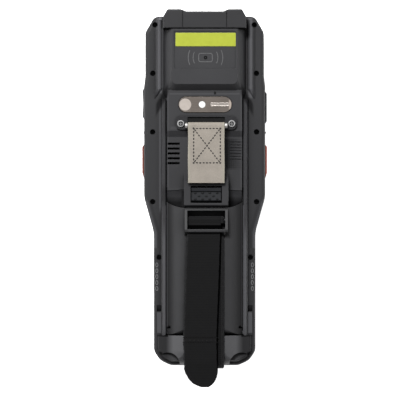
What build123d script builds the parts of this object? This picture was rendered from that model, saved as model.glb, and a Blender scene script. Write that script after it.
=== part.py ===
from build123d import *
from math import asin, cos, radians, sin, sqrt
import os

# Portable barcode data terminal, in millimetres. It lies on its display: +Z is its back, +Y its
# scanning end and +X the right side seen from the back. z = 0 is the front rim it rests on.

# ---- plan outline, half widths about x = 0 ----
HEAD_TOP_Y = 102.0
HEAD_TOP_HALF = 28.0
SHOULDER_Y = 93.0
BELLY_TOP_Y = 68.2
BELLY_Y = 62.8
BELLY_HALF = 34.0
SHOULDER_HALF = BELLY_HALF - 0.7
WAIST_TOP_Y = 0.5
WAIST_BOTTOM_Y = -19.0
GRIP_HALF = 28.5
CORNER_Y = -85.6
HEEL_HALF = 25.0
HEEL_Y = -90.9
FOOT_HALF = 19.0
FOOT_Y = -93.7

# ---- levels above the front rim ----
FACE_Z = 1.6
SKIN = 2.0
SPLIT_Z = 11.5
GASKET = 0.6
DECK_Z = 22.0
SPEAKER_Z = 24.9
CAMERA_DECK_Z = 26.6
PLATEAU_Z = 30.0
COVER_Z = 28.4
FRAME_Z = 29.8
EDGE_ROUND = 2.2
WALL = 2.0

# ---- clearances ----
SEAT_GAP = 0.1
SLIDE_GAP = 0.3
RUN_GAP = 0.05

# ---- rails and raised zones ----
RAIL_X = 22.7
RAIL_HALF = 1.1
RAIL_Z = 25.1
RAIL_FOOT_HALF = 1.9
UPPER_RAIL_X = 26.0
UPPER_RAIL_HALF = 1.7
UPPER_RAIL_Z = 23.6
UPPER_RAIL_END_Y = 61.0
UPPER_RAIL_TIP_Y = 54.5
PLATEAU_TOP_HALF = 18.4
PLATEAU_FOOT_HALF = 23.5
PLATEAU_TOP_Y0 = 63.5
PLATEAU_FOOT_Y0 = 55.0
CAP_Y0 = 94.2
CAMERA_DECK_HALF = 20.9
CAMERA_DECK_Y0 = 37.6
CAMERA_DECK_Y1 = 60.5
DECK_STEP = 3.4
LABEL_WELL = (-17.1, 17.3, 72.0, 93.0)
LABEL_WELL_DEEP = 0.35
LABEL_LONG = 33.5
LABEL_WIDE = 7.5
LABEL_THICK = 0.2
LABEL_Y = 88.25
LABEL_X = 0.55

# ---- scanning end ----
CAP_HALF = 23.2
CAP_TOP_Y = 104.0
CAP_Z = 30.6
EAR_IN = 11.6
EAR_OUT = 22.2
EAR_TOP_Y = 105.2
WINDOW_HALF = 12.0
WINDOW_Z0 = 15.5
WINDOW_Z1 = 25.5
WINDOW_THICK = 1.6
ENGINE = (25.0, 15.0, 11.0)

# ---- battery bay, cover and hinge ----
BAY_TOP_Y = -5.0
BAY_FLAT_HALF = 11.0
BAY_CORNER_R = 17.5
BAY_END_Y = -76.7
BAY_HALF = 18.2
COVER_HALF = 21.2
COVER_EDGE_Z = 23.6
COVER_LOW_Z = 21.8
COVER_WALL = 1.7
COVER_TOP_GAP = 0.4
COVER_FLAT_HALF = 11.6
COVER_SHOULDER_HALF = 17.0
COVER_SHOULDER_Z = 26.7
BAY_FLOOR_Z = 8.8
TUB_WALL = 1.5
HINGE_Y = -72.1
HINGE_Z = 24.4
HINGE_BARREL_R = 4.1
HINGE_PIN_R = 0.8
HINGE_EAR_X = 9.0
HINGE_EAR_WIDE = 2.0
HINGE_EAR_R = 1.8
HINGE_EAR_DEEP = 3.0
HINGE_KNUCKLE_WIDE = 2.6
PACK_THICK = 13.6
PACK_Y0 = -66.8
PACK_Y1 = -8.4
CONTACT_WIDE = 18.0
CONTACT_HIGH = 7.0
BLADE_OUT = 0.9
BLADE_XS = [-6.0, -2.0, 2.0, 6.0]

# ---- strap line: latch, tab, loop and strap share it ----
STRAP_X = 0.9
STRAP_WIDE = 20.3
STRAP_THICK = 1.1
FLAP_WIDE = 18.9
LOOP_HALF = 12.05
LOOP_WINDOW_HALF = 10.55
LOOP_TOP_Y = -5.9
LOOP_WINDOW_Y1 = -6.9
LOOP_WINDOW_Y0 = -17.3
LOOP_BOTTOM_Y = -19.0
LOOP_HIGH_Z = 32.4
LOOP_LOW_Z = 29.8
LOOP_BAR_THICK = 1.5
LOOP_FLOOR_Z = 24.7
STRAP_PIN_Y = -12.4
STRAP_PIN_Z = 27.2
STRAP_PIN_R = 1.0
STRAP_EXIT_Y = -22.5
STRAP_LOW_Z = COVER_Z + SEAT_GAP + STRAP_THICK / 2
STRAP_HIGH_Z = STRAP_LOW_Z + STRAP_THICK + SEAT_GAP
STRAP_WRAP_R = STRAP_PIN_R + SEAT_GAP + STRAP_THICK / 2
STRAP_TURN_Y = -94.6
FOOT_BAR_Y = -90.6
FOOT_BAR_Z = 17.3
FOOT_BAR_R = 0.9
FOOT_SLOT_HIGH = 5.4
FOOT_SLOT_DEEP = 6.4
TAIL_Y = -105.2
TAIL_BEND_Y = -91.5
TAIL_DROOP = 1.6
TAIL_X = 0.5
TAIL_LEFT = 12.0
TAIL_LEFT_Y = -93.0
TAIL_RIGHT = 6.9
TAIL_RIGHT_Y = -95.5

# ---- latch ----
FRAME_HALF = 12.4
FRAME_Y0 = -4.6
FRAME_Y1 = 9.0
FRAME_RAMP_Y = 14.0
LATCH_MOUTH_HALF = 8.75
LATCH_MOUTH_Y0 = -2.7
LATCH_MOUTH_Y1 = 6.8
LATCH_PLATE_HALF = 10.0
LATCH_PLATE_Z0 = 25.0
LATCH_PLATE_Z1 = 27.0
LATCH_TRAVEL = 1.0
LATCH_TOP_Z = 29.3

# ---- grooves above the finger hollows ----
CREASE_TOP_Y = 5.3
CREASE_R = 118.0
CREASE_WIDE = 0.4
CREASE_DEEP = 0.8

# ---- tab and its bracket ----
BRACKET_HALF = 17.0
BRACKET_Y0 = 38.2
BRACKET_Y1 = 45.6
BRACKET_THICK = 1.0
BRACKET_SCREW_X = 14.2
BRACKET_SCREW_Y = 41.5
BRACKET_SLOT_HALF = 9.6
BAR_HALF = 11.75
LUG_WIDE = 1.3
LUG_R = 1.8
BAR_Y = 40.3
BAR_Z = 29.3
BAR_R = 0.9
TAB_WIDE = 20.3
TAB_PLY = 1.0
TAB_END_Y = 8.4
TAB_END_Z = 31.1

# ---- camera plate ----
PLATE_X = 0.3
PLATE_Y = 52.2
PLATE_LONG = 30.2
PLATE_WIDE = 9.35
PLATE_THICK = 1.0
PLATE_SUNK = 0.6
LENS_X = -10.8
LENS_R = 3.7
FLASH_X = -1.4
FLASH_R = 2.0

# ---- speaker ----
SLOT_X0 = -20.6
SLOT_X1 = -13.9
SLOT_HIGH = 1.25
SLOT_PITCH = 2.72
SLOT_COUNT = 5
SLOT_TOP_Y = 30.4
GROOVE_X0 = 14.2
GROOVE_X1 = 20.5
GROOVE_PITCH = 1.6
GROOVE_COUNT = 7
GROOVE_HIGH = 0.6
GROOVE_TOP_Y = 31.2
GROOVE_DEEP = 0.35

# ---- housing screws ----
SCREW_SPOTS = [
    (HEAD_TOP_HALF - 0.2, 97.0),
    (BELLY_HALF - 5.0, 69.9),
    (BELLY_HALF - 4.9, 37.1),
    (BELLY_HALF - 4.9, -2.0),
    (GRIP_HALF - 2.9, -33.1),
]
BORE_SIDES = 12
WELL_R = 1.5
WELL_Z = 16.0
BOSS_R = 3.15
SCREW_HEAD_R = 1.4
SCREW_HEAD_HIGH = 1.6
SCREW_R = 0.8
SCREW_TIP_Z = 6.0

# ---- side controls ----
SCAN_Y0 = 10.8
SCAN_Y1 = 30.3
SCAN_Z0 = 12.9
SCAN_Z1 = 18.6
SCAN_PROUD = 1.1
KEY_FLANGE = 0.8
VOLUME_Y0 = 43.4
VOLUME_Y1 = 62.8
VOLUME_PROUD = 0.8
VOLUME_PIVOT_R = 0.9
PORT_Y0 = 41.7
PORT_Y1 = 60.0
PORT_PROUD = 0.9
PORT_MOUTH_Y0 = 46.6
PORT_MOUTH_Y1 = 56.8

# ---- grip details ----
NOTCH_Y0 = -63.5
NOTCH_Y1 = -60.0
NOTCH_X0 = 24.1
NOTCH_X1 = 26.8
HEEL_PAD_RISE = 0.9
PAD_Y0 = -51.9
PAD_Y1 = -28.0
PAD_IN = 25.5
PAD_THICK = 0.6
PAD_LOW_Z = 14.0

# ---- bottom cap ----
CAP_INSET = 2.3
CAP_FOOT_Z = 20.2
CAP_BOSS_HALF = 25.2
CAP_BOSS_Z = 28.2
CAP_PAD_Z = 24.2
CAP_BEND_Y = -85.2
CAP_LOBE_X = 20.5
CAP_LOBE_Y = -92.8
CAP_LOBE_R = 6.6
CAP_END_R = 7.5

# ---- front ----
GLASS_HALF = BELLY_HALF - 5.0
GLASS_Y0 = -6.0
GLASS_Y1 = 92.0
GLASS_THICK = 1.1
GLASS_LEDGE = 2.0
RIM_WIDE = 1.8
KEY_TOP_Z = 0.5
KEY_TRAVEL = 0.5
KEY_FLANGE_Z = 0.6
MAT_THICK = 0.9
MAT_HALF = 22.4
KEY_GAP = 0.25
KEY_FLANGE_WIDE = 0.5
KEYS = {
    "key_escape": (15.0, -14.6, 12.4, 6.6),
    "key_scan": (0.0, -14.6, 13.0, 7.2),
    "key_enter": (-15.0, -14.6, 12.4, 6.6),
    "key_nav_ok": (0.0, -30.0, 8.4, 8.4),
    "key_nav_up": (0.0, -22.1, 10.4, 4.4),
    "key_nav_down": (0.0, -37.9, 10.4, 4.4),
    "key_nav_left": (7.9, -30.0, 4.4, 8.6),
    "key_nav_right": (-7.9, -30.0, 4.4, 8.6),
}
DIGIT_SIZE = (12.4, 7.0)
DIGIT_STEP = (15.0, 9.4)
DIGIT_TOP_Y = -47.4
DIGIT_NAMES = ("1", "2", "3", "4", "5", "6", "7", "8", "9", "star", "0", "hash")
DOCK_X = (-9.0, -3.0, 3.0, 9.0)
DOCK_Z = 6.6
DOCK_R = 1.2
BOARD_Z0 = 8.6
BOARD_Z1 = 9.8
BOARD_HALF = GRIP_HALF - 3.5
BOARD_Y0 = 2.6
BOARD_Y1 = 93.5
POST_X = 21.0
POST_YS = [8.0, 90.0]
POST_R = 1.8


def block(x0, x1, y0, y1, z0, z1):
    """A box between two corners."""
    middle = Pos((x0 + x1) / 2, (y0 + y1) / 2, (z0 + z1) / 2)
    return middle * Box(x1 - x0, y1 - y0, z1 - z0)


def rod_x(x0, x1, y, z, radius):
    """A round bar along X."""
    return Pos((x0 + x1) / 2, y, z) * Rot(0, 90, 0) * Cylinder(radius, x1 - x0)


def rod_z(x, y, z0, z1, radius):
    """A round bar along Z."""
    return Pos(x, y, (z0 + z1) / 2) * Cylinder(radius, z1 - z0)


def bore_z(x, y, z0, z1, radius):
    """A many-sided bar along Z, for the screw shanks and their bores."""
    return upright(Pos(x, y) * RegularPolygon(radius, BORE_SIDES), z0, z1)


def upright(face, z0, z1):
    """A plan shape raised from z0 to z1."""
    return Pos(0, 0, z0) * extrude(face, z1 - z0)


def along_x(points, x0, x1):
    """A side profile of (y, z) points, drawn out from x0 to x1."""
    face = make_face(Polyline(*[(x0, y, z) for y, z in points], close=True))
    return extrude(face, x1 - x0, dir=(1, 0, 0))


def along_y(points, y0, y1):
    """A cross profile of (x, z) points, drawn out from y0 to y1."""
    face = make_face(Polyline(*[(x, y0, z) for x, z in points], close=True))
    return extrude(face, y1 - y0, dir=(0, 1, 0))


def both_sides(part):
    """The part and its mirror image about x = 0."""
    return part + mirror(part, Plane.YZ)


def slab(x0, x1, y0, y1, z0, z1, radius):
    """A box with rounded upright corners."""
    middle = Pos((x0 + x1) / 2, (y0 + y1) / 2)
    return upright(middle * RectangleRounded(x1 - x0, y1 - y0, radius), z0, z1)


def plan(inset=0.0):
    """The outline of the casing, drawn in by inset."""
    half = [
        (HEAD_TOP_HALF, HEAD_TOP_Y, 4.5),
        (SHOULDER_HALF, SHOULDER_Y, 6.0),
        (SHOULDER_HALF, BELLY_TOP_Y, 5.0),
        (BELLY_HALF, BELLY_Y, 5.0),
        (BELLY_HALF, WAIST_TOP_Y, 14.0),
        (GRIP_HALF, WAIST_BOTTOM_Y, 22.0),
        (GRIP_HALF, CORNER_Y, 6.0),
        (HEEL_HALF, HEEL_Y, 8.0),
        (FOOT_HALF, FOOT_Y, 7.0),
    ]
    whole = half + [(-x, y, r) for x, y, r in reversed(half)]
    line = FilletPolyline(*[(x, y) for x, y, r in whole], radius=[r for x, y, r in whole], close=True)
    face = make_face(line)
    return offset(face, -inset) if inset else face


def bay_plan(half, gap=0.0):
    """The battery opening: its upper edge is flat in the middle and curls up at both sides."""
    top = BAY_TOP_Y - gap
    reach = half - BAY_FLAT_HALF
    rise = BAY_CORNER_R - sqrt(BAY_CORNER_R**2 - reach**2)
    turn = asin(reach / BAY_CORNER_R) / 2
    mid_x = BAY_FLAT_HALF + BAY_CORNER_R * sin(turn)
    mid_y = top + BAY_CORNER_R * (1 - cos(turn))
    right = ThreePointArc((BAY_FLAT_HALF, top), (mid_x, mid_y), (half, top + rise))
    left = ThreePointArc((-half, top + rise), (-mid_x, mid_y), (-BAY_FLAT_HALF, top))
    edges = [
        Line((-BAY_FLAT_HALF, top), (BAY_FLAT_HALF, top)),
        right,
        Line((half, top + rise), (half, BAY_END_Y)),
        Line((half, BAY_END_Y), (-half, BAY_END_Y)),
        Line((-half, BAY_END_Y), (-half, top + rise)),
        left,
    ]
    return make_face(Wire(edges))


def boss_spots():
    """Every screw place, right side then left."""
    return [(side * x, y) for x, y in SCREW_SPOTS for side in (1, -1)]


# ---- rear half of the casing ----
def deck():
    """The rear shell's main body with its rounded back edge."""
    body = upright(plan(), SPLIT_Z + GASKET, DECK_Z)
    rim = body.faces().sort_by(Axis.Z)[-1].edges()
    return fillet(rim, EDGE_ROUND)


def spine():
    """The raised middle: speaker area, both long rails and the lips of the battery opening."""
    rail = [
        (RAIL_X + RAIL_FOOT_HALF, DECK_Z - 1),
        (RAIL_X + RAIL_FOOT_HALF, DECK_Z),
        (RAIL_X + RAIL_HALF, RAIL_Z - 0.6),
        (RAIL_X + RAIL_HALF - 0.5, RAIL_Z),
        (RAIL_X - RAIL_HALF + 0.5, RAIL_Z),
        (RAIL_X - RAIL_HALF, RAIL_Z - 0.6),
        (COVER_HALF + SLIDE_GAP, COVER_EDGE_Z),
        (COVER_HALF + SLIDE_GAP, DECK_Z - 1),
    ]
    rails = both_sides(along_y(rail, BAY_END_Y, CAMERA_DECK_Y1 - 5))
    area = block(-CAMERA_DECK_HALF, CAMERA_DECK_HALF, BAY_TOP_Y, CAMERA_DECK_Y1, DECK_Z - 1, SPEAKER_Z)
    return rails + area


def camera_deck():
    """The level step that carries the camera plate, falling softly to the speaker area."""
    slope = [
        (CAMERA_DECK_Y0 - DECK_STEP, SPEAKER_Z - 0.5),
        (CAMERA_DECK_Y0 - DECK_STEP, SPEAKER_Z),
        (CAMERA_DECK_Y0, CAMERA_DECK_Z),
        (CAMERA_DECK_Y1, CAMERA_DECK_Z),
        (CAMERA_DECK_Y1, SPEAKER_Z - 0.5),
    ]
    step = along_x(slope, -CAMERA_DECK_HALF, CAMERA_DECK_HALF)
    return step


def plateau():
    """The scanning head's raised back: a frustum with rounded corners."""
    foot_y1 = HEAD_TOP_Y - 1
    top_mid = (PLATEAU_TOP_Y0 + foot_y1) / 2
    foot_mid = (PLATEAU_FOOT_Y0 + foot_y1) / 2
    foot = Pos(0, foot_mid, DECK_Z - 0.5) * RectangleRounded(
        2 * PLATEAU_FOOT_HALF, foot_y1 - PLATEAU_FOOT_Y0, 4.0
    )
    top = Pos(0, top_mid, PLATEAU_Z) * RectangleRounded(
        2 * PLATEAU_TOP_HALF, foot_y1 - PLATEAU_TOP_Y0, 3.0
    )
    return loft([foot, top])


def upper_rails():
    """The two beads beside the plateau, which flare outwards and die at the camera deck."""
    profile = [
        (UPPER_RAIL_X + UPPER_RAIL_HALF + 1.4, DECK_Z - 0.5),
        (UPPER_RAIL_X + UPPER_RAIL_HALF, DECK_Z + 0.6),
        (UPPER_RAIL_X + 0.5, UPPER_RAIL_Z),
        (UPPER_RAIL_X - 0.7, UPPER_RAIL_Z),
        (UPPER_RAIL_X - UPPER_RAIL_HALF, DECK_Z + 0.6),
        (UPPER_RAIL_X - UPPER_RAIL_HALF - 0.5, DECK_Z - 0.5),
    ]
    straight = along_y(profile, UPPER_RAIL_END_Y, HEAD_TOP_Y - 2.2)
    tip_x = UPPER_RAIL_X + 2.6
    start = make_face(Polyline(*[(x, UPPER_RAIL_END_Y, z) for x, z in profile], close=True))
    small = [(tip_x + (x - UPPER_RAIL_X) * 0.3, UPPER_RAIL_TIP_Y, DECK_Z - 0.5 + (z - DECK_Z + 0.5) * 0.1)
             for x, z in profile]
    end = make_face(Polyline(*small, close=True))
    flare = loft([start, end])
    return both_sides(straight + flare)


def latch_frame():
    """The raised frame round the latch, ramped up from under the leather tab."""
    side = [
        (FRAME_Y0, DECK_Z - 1),
        (FRAME_Y0, FRAME_Z - 0.8),
        (FRAME_Y0 + 0.8, FRAME_Z),
        (FRAME_Y1, FRAME_Z),
        (FRAME_RAMP_Y, SPEAKER_Z),
        (FRAME_RAMP_Y, DECK_Z - 1),
    ]
    return along_x(side, STRAP_X - FRAME_HALF, STRAP_X + FRAME_HALF)


def latch_pocket():
    """The room of the latch plate, its mouth in the frame and the slit towards the cover."""
    side = SLIDE_GAP
    room = block(
        STRAP_X - LATCH_PLATE_HALF - side, STRAP_X + LATCH_PLATE_HALF + side,
        FRAME_Y0 - 1, LATCH_MOUTH_Y1 + 3.4,
        LATCH_PLATE_Z0, LATCH_PLATE_Z1 + SEAT_GAP,
    )
    mouth = block(
        STRAP_X - LATCH_MOUTH_HALF, STRAP_X + LATCH_MOUTH_HALF,
        LATCH_MOUTH_Y0, LATCH_MOUTH_Y1,
        LATCH_PLATE_Z0, FRAME_Z + 1,
    )
    return [room, mouth]


def scoops():
    """The finger hollows on both sides of the latch frame, deepest at the cover's edge."""
    rise = SPEAKER_Z - DECK_Z + 0.3
    run = 9.3
    radius = (run**2 + rise**2) / (2 * rise)
    low_y = BAY_TOP_Y + 0.2
    roll = rod_x(STRAP_X + FRAME_HALF, RAIL_X - RAIL_FOOT_HALF + 0.3, low_y, DECK_Z - 0.3 + radius, radius)
    left = rod_x(-RAIL_X + RAIL_FOOT_HALF - 0.3, STRAP_X - FRAME_HALF, low_y, DECK_Z - 0.3 + radius, radius)
    return [roll, left]


def creases():
    """The fine grooves above the finger hollows, on one wide arc."""
    ring = Circle(CREASE_R + CREASE_WIDE / 2) - Circle(CREASE_R - CREASE_WIDE / 2)
    groove = upright(Pos(0, CREASE_TOP_Y - CREASE_R) * ring, SPEAKER_Z - CREASE_DEEP, SPEAKER_Z + 1)
    right = block(STRAP_X + FRAME_HALF, CAMERA_DECK_HALF + 0.5, 0, CREASE_TOP_Y + 1, DECK_Z, SPEAKER_Z + 1)
    left = block(-CAMERA_DECK_HALF - 0.5, STRAP_X - FRAME_HALF, 0, CREASE_TOP_Y + 1, DECK_Z, SPEAKER_Z + 1)
    return [groove & right, groove & left]


def tub():
    """The battery tub's outside, which hangs below the split."""
    outer = BAY_HALF + TUB_WALL
    y1 = BAY_TOP_Y + TUB_WALL + 1
    return block(-outer, outer, BAY_END_Y - TUB_WALL, y1, BAY_FLOOR_Z - TUB_WALL, DECK_Z - 1)


def bay():
    """What the battery and the cover are let into."""
    seat = upright(bay_plan(COVER_HALF + SLIDE_GAP), COVER_LOW_Z - SLIDE_GAP, PLATEAU_Z + 9)
    pit = block(-BAY_HALF, BAY_HALF, BAY_END_Y, BAY_TOP_Y, BAY_FLOOR_Z, DECK_Z + 2)
    swing = HINGE_BARREL_R + SLIDE_GAP
    relief = rod_x(-COVER_HALF - SLIDE_GAP, COVER_HALF + SLIDE_GAP, HINGE_Y, HINGE_Z, swing)
    return [seat, pit, relief & block(-60, 60, BAY_END_Y, 0, 0, 60)]


def hinge_ears():
    """The two ears on the tub's floor that hold the cover's pin."""
    ears = []
    for side in (1, -1):
        x0 = side * HINGE_EAR_X - HINGE_EAR_WIDE / 2
        x1 = x0 + HINGE_EAR_WIDE
        post = block(x0, x1, HINGE_Y, HINGE_Y + HINGE_EAR_DEEP, BAY_FLOOR_Z - 0.5, HINGE_Z)
        head = rod_x(x0, x1, HINGE_Y, HINGE_Z, HINGE_EAR_R)
        ears.append(post + head)
    return ears


def head_room():
    """The hollow of the rear half: the head, with a lift under the camera deck and the plateau."""
    floor = SPLIT_Z + GASKET - 1
    main = upright(plan(WALL), floor, DECK_Z - WALL) & block(-60, 60, 1.0, 200, 0, 60)
    under_area = block(-18.6, 18.6, 16.0, CAMERA_DECK_Y1 - 3, DECK_Z - 5, SPEAKER_Z - SKIN)
    under_deck = block(-18.6, 18.6, CAMERA_DECK_Y0 + 0.5, CAMERA_DECK_Y1, DECK_Z - 5, CAMERA_DECK_Z - SKIN)
    under_plateau = block(
        -PLATEAU_TOP_HALF + 1, PLATEAU_TOP_HALF - 1, PLATEAU_TOP_Y0 + 1.5, CAP_Y0 + 2,
        DECK_Z - 5, PLATEAU_Z - SKIN,
    )
    return [main, under_area, under_deck, under_plateau]


def grip_room():
    """The hollow beside and below the tub."""
    floor = SPLIT_Z + GASKET - 1
    ring = upright(plan(WALL), floor, DECK_Z - 4.5) & block(-60, 60, BAY_END_Y - TUB_WALL - 20, 1.0, 0, 60)
    outer = BAY_HALF + TUB_WALL
    return ring - block(-outer, outer, BAY_END_Y - TUB_WALL, 6, 0, 60)


def cap_seat():
    """The notch that the scanning cap closes."""
    return block(-CAP_HALF, CAP_HALF, CAP_Y0, 200, SPLIT_Z + GASKET, 60)


def foot_slot():
    """The slot in the lower end that the hand strap turns back in."""
    half = STRAP_WIDE / 2 + 1.2
    mouth = block(
        STRAP_X - half, STRAP_X + half, FOOT_Y - 1, FOOT_Y + FOOT_SLOT_DEEP,
        FOOT_BAR_Z - FOOT_SLOT_HIGH / 2, FOOT_BAR_Z + FOOT_SLOT_HIGH / 2,
    )
    bore = rod_x(STRAP_X - half - 2, STRAP_X + half + 2, FOOT_BAR_Y, FOOT_BAR_Z, FOOT_BAR_R)
    return [mouth, bore]


def lower_end():
    """Solid end of the rear half, which carries the foot bar and the bottom cap."""
    y1 = BAY_END_Y
    return upright(plan(WALL - 0.5), SPLIT_Z + GASKET, DECK_Z - 1) & block(-60, 60, -200, y1, 0, 60)


def screw_bosses(z0, z1):
    """Solid columns round the screws, kept inside the outline."""
    columns = [rod_z(x, y, z0, z1, BOSS_R) for x, y in boss_spots()]
    return (Part() + columns) & upright(plan(0.5), z0, z1)


def board_posts():
    """Posts from the rear shell down to the main board."""
    top = DECK_Z - WALL + 0.5
    spots = [(s * POST_X, y) for y in POST_YS for s in (1, -1)]
    return [rod_z(x, y, BOARD_Z1, top, POST_R) for x, y in spots]


def side_openings():
    """The holes for the scan buttons, the volume key and the port flap."""
    far = BELLY_HALF + 3
    near = BELLY_HALF - WALL - 3
    holes = both_sides(block(near, far, SCAN_Y0, SCAN_Y1, SCAN_Z0, SCAN_Z1))
    holes += block(-far, -near, VOLUME_Y0, VOLUME_Y1, SCAN_Z0, SCAN_Z1)
    holes += block(near, far, PORT_MOUTH_Y0, PORT_MOUTH_Y1, SCAN_Z0, SCAN_Z1)
    holes += block(BELLY_HALF - 0.9, far, PORT_Y0, PORT_Y1, SCAN_Z0 - 1, SCAN_Z1 + 1)
    middle = (VOLUME_Y0 + VOLUME_Y1) / 2
    reach = 0.7 + RUN_GAP
    pivot = rod_z(-BELLY_HALF + WALL, middle, SCAN_Z0 - reach, SCAN_Z1 + reach, VOLUME_PIVOT_R + RUN_GAP)
    return holes + pivot


def screw_wells():
    """The deep wells over the screw heads, and the bores of the shanks."""
    cuts = []
    for x, y in boss_spots():
        cuts.append(rod_z(x, y, WELL_Z, DECK_Z + 5, WELL_R))
        cuts.append(bore_z(x, y, SPLIT_Z, WELL_Z, SCREW_R + SEAT_GAP))
    return cuts


def speaker_cuts():
    """Five slots over the speaker and the shallow blind grooves opposite."""
    cuts = []
    for i in range(SLOT_COUNT):
        y = SLOT_TOP_Y - i * SLOT_PITCH
        cuts.append(block(SLOT_X0, SLOT_X1, y - SLOT_HIGH / 2, y + SLOT_HIGH / 2, DECK_Z, SPEAKER_Z + 1))
    for i in range(GROOVE_COUNT):
        y = GROOVE_TOP_Y - i * GROOVE_PITCH
        low = SPEAKER_Z - GROOVE_DEEP
        half = GROOVE_HIGH / 2
        cuts.append(block(GROOVE_X0, GROOVE_X1, y - half, y + half, low, SPEAKER_Z + 1))
    return cuts


def label_well():
    """The shallow square well that takes the label and the antenna mark."""
    x0, x1, y0, y1 = LABEL_WELL
    return slab(x0, x1, y0, y1, PLATEAU_Z - LABEL_WELL_DEEP, PLATEAU_Z + 1, 0.8)


def capsule(long, wide, x, y, z0, z1):
    """A plate with round ends."""
    return upright(Pos(x, y) * SlotOverall(long, wide), z0, z1)


def camera_cuts():
    """The seat of the camera plate and the holes behind its lenses."""
    seat_z = CAMERA_DECK_Z - PLATE_SUNK
    seat = capsule(PLATE_LONG, PLATE_WIDE, PLATE_X, PLATE_Y, seat_z, CAMERA_DECK_Z + 1)
    eye = rod_z(LENS_X, PLATE_Y, CAMERA_DECK_Z - SKIN - 1, seat_z, LENS_R - 0.6)
    flash = rod_z(FLASH_X, PLATE_Y, CAMERA_DECK_Z - SKIN - 1, seat_z, FLASH_R - 0.4)
    return [seat, eye, flash]


def bracket_cuts():
    """The dark slot under the steel bar and the bores of the bracket's screws."""
    slot = block(
        STRAP_X - BRACKET_SLOT_HALF, STRAP_X + BRACKET_SLOT_HALF,
        BAR_Y - 2.6, BRACKET_Y1 - 0.4, CAMERA_DECK_Z - 1.2, CAMERA_DECK_Z + 1,
    )
    bores = [rod_z(STRAP_X + s * BRACKET_SCREW_X, BRACKET_SCREW_Y, CAMERA_DECK_Z - SKIN, CAMERA_DECK_Z + 1,
                   SCREW_R + SEAT_GAP) for s in (1, -1)]
    return [slot] + bores


def heel_pads():
    """The raised strips beside the lower rails, below a wedge notch."""
    pad = block(NOTCH_X0, NOTCH_X1, BAY_END_Y, NOTCH_Y0, DECK_Z - 1, DECK_Z + HEEL_PAD_RISE)
    return both_sides(pad)


def heel_notches():
    """The wedge notch above each raised strip."""
    wedge = [
        (NOTCH_Y0, DECK_Z - 1.6),
        (NOTCH_Y0, DECK_Z + 2),
        (NOTCH_Y1, DECK_Z + 2),
        (NOTCH_Y1, DECK_Z - 0.2),
    ]
    return both_sides(along_x(wedge, NOTCH_X0, NOTCH_X1))


def pad_shell(y0, y1):
    """The bent cross section of the right grip pad, drawn out along Y."""
    out = GRIP_HALF
    r = EDGE_ROUND
    outer = [
        Line((PAD_IN, 0, DECK_Z), (out - r, 0, DECK_Z)),
        ThreePointArc(
            (out - r, 0, DECK_Z),
            (out - r + r * sin(radians(45)), 0, DECK_Z - r + r * cos(radians(45))),
            (out, 0, DECK_Z - r),
        ),
        Line((out, 0, DECK_Z - r), (out, 0, PAD_LOW_Z)),
    ]
    q = r - PAD_THICK
    inner = [
        Line((out, 0, PAD_LOW_Z), (out - PAD_THICK, 0, PAD_LOW_Z)),
        Line((out - PAD_THICK, 0, PAD_LOW_Z), (out - PAD_THICK, 0, DECK_Z - r)),
        ThreePointArc(
            (out - PAD_THICK, 0, DECK_Z - r),
            (out - r + q * sin(radians(45)), 0, DECK_Z - r + q * cos(radians(45))),
            (out - r, 0, DECK_Z - PAD_THICK),
        ),
        Line((out - r, 0, DECK_Z - PAD_THICK), (PAD_IN, 0, DECK_Z - PAD_THICK)),
        Line((PAD_IN, 0, DECK_Z - PAD_THICK), (PAD_IN, 0, DECK_Z)),
    ]
    face = make_face(Wire(outer + inner))
    return Pos(0, y0, 0) * extrude(face, y1 - y0, dir=(0, 1, 0))


def grip_pads():
    """The two textured pads that wrap the grip's back edges."""
    wells = [rod_z(x, y, WELL_Z, DECK_Z + 1, WELL_R + 0.15) for x, y in boss_spots()]
    return both_sides(pad_shell(PAD_Y0, PAD_Y1)) - wells


def side_nubs():
    """The small nubs on both flanks above the scan buttons."""
    return both_sides(rod_z(BELLY_HALF - 0.4, 36.7, SPLIT_Z + GASKET + 1, 18.5, 0.85))


def on_lobe(turn):
    """A point on the edge of the right corner lobe."""
    return (CAP_LOBE_X + CAP_LOBE_R * cos(radians(turn)), CAP_LOBE_Y + CAP_LOBE_R * sin(radians(turn)))


def cap_boss_plan():
    """The cap's middle boss from above: wide, then drawn in round both corner lobes."""
    foot = (on_lobe(180)[0], FOOT_Y)
    right = [
        Line((CAP_BOSS_HALF, BAY_END_Y), (CAP_BOSS_HALF, CAP_BEND_Y)),
        Line((CAP_BOSS_HALF, CAP_BEND_Y), on_lobe(60)),
        ThreePointArc(on_lobe(60), on_lobe(120), on_lobe(180)),
        Line(on_lobe(180), foot),
        Line(foot, (0, FOOT_Y)),
        Line((0, BAY_END_Y), (CAP_BOSS_HALF, BAY_END_Y)),
    ]
    left = [mirror(edge, Plane.YZ) for edge in right]
    return make_face(Wire([e.edge() for e in right] + [e.edge() for e in left]))


def cap_notch():
    """Room for the bottom cap on the lower end."""
    pads = upright(plan(CAP_INSET), CAP_FOOT_Z, DECK_Z + 9) & block(-60, 60, -200, BAY_END_Y, 0, 60)
    return pads + upright(cap_boss_plan(), CAP_FOOT_Z, DECK_Z + 9)


def rear_housing():
    """The rear half of the casing."""
    body = deck() + [spine(), camera_deck(), plateau(), upper_rails(), latch_frame()]
    body -= head_room() + [grip_room()]
    columns = [screw_bosses(SPLIT_Z + GASKET, DECK_Z - 1)]
    body += columns + board_posts() + [tub(), lower_end(), heel_pads(), side_nubs()]
    body -= bay() + latch_pocket() + scoops() + creases() + foot_slot() + screw_wells() + speaker_cuts()
    body -= camera_cuts() + bracket_cuts() + [side_openings(), cap_seat(), label_well(), cap_notch()]
    body -= [grip_pads(), heel_notches()]
    body += hinge_ears()
    pin = rod_x(-HINGE_EAR_X - 2, HINGE_EAR_X + 2, HINGE_Y, HINGE_Z, HINGE_PIN_R)
    return body - pin


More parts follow.
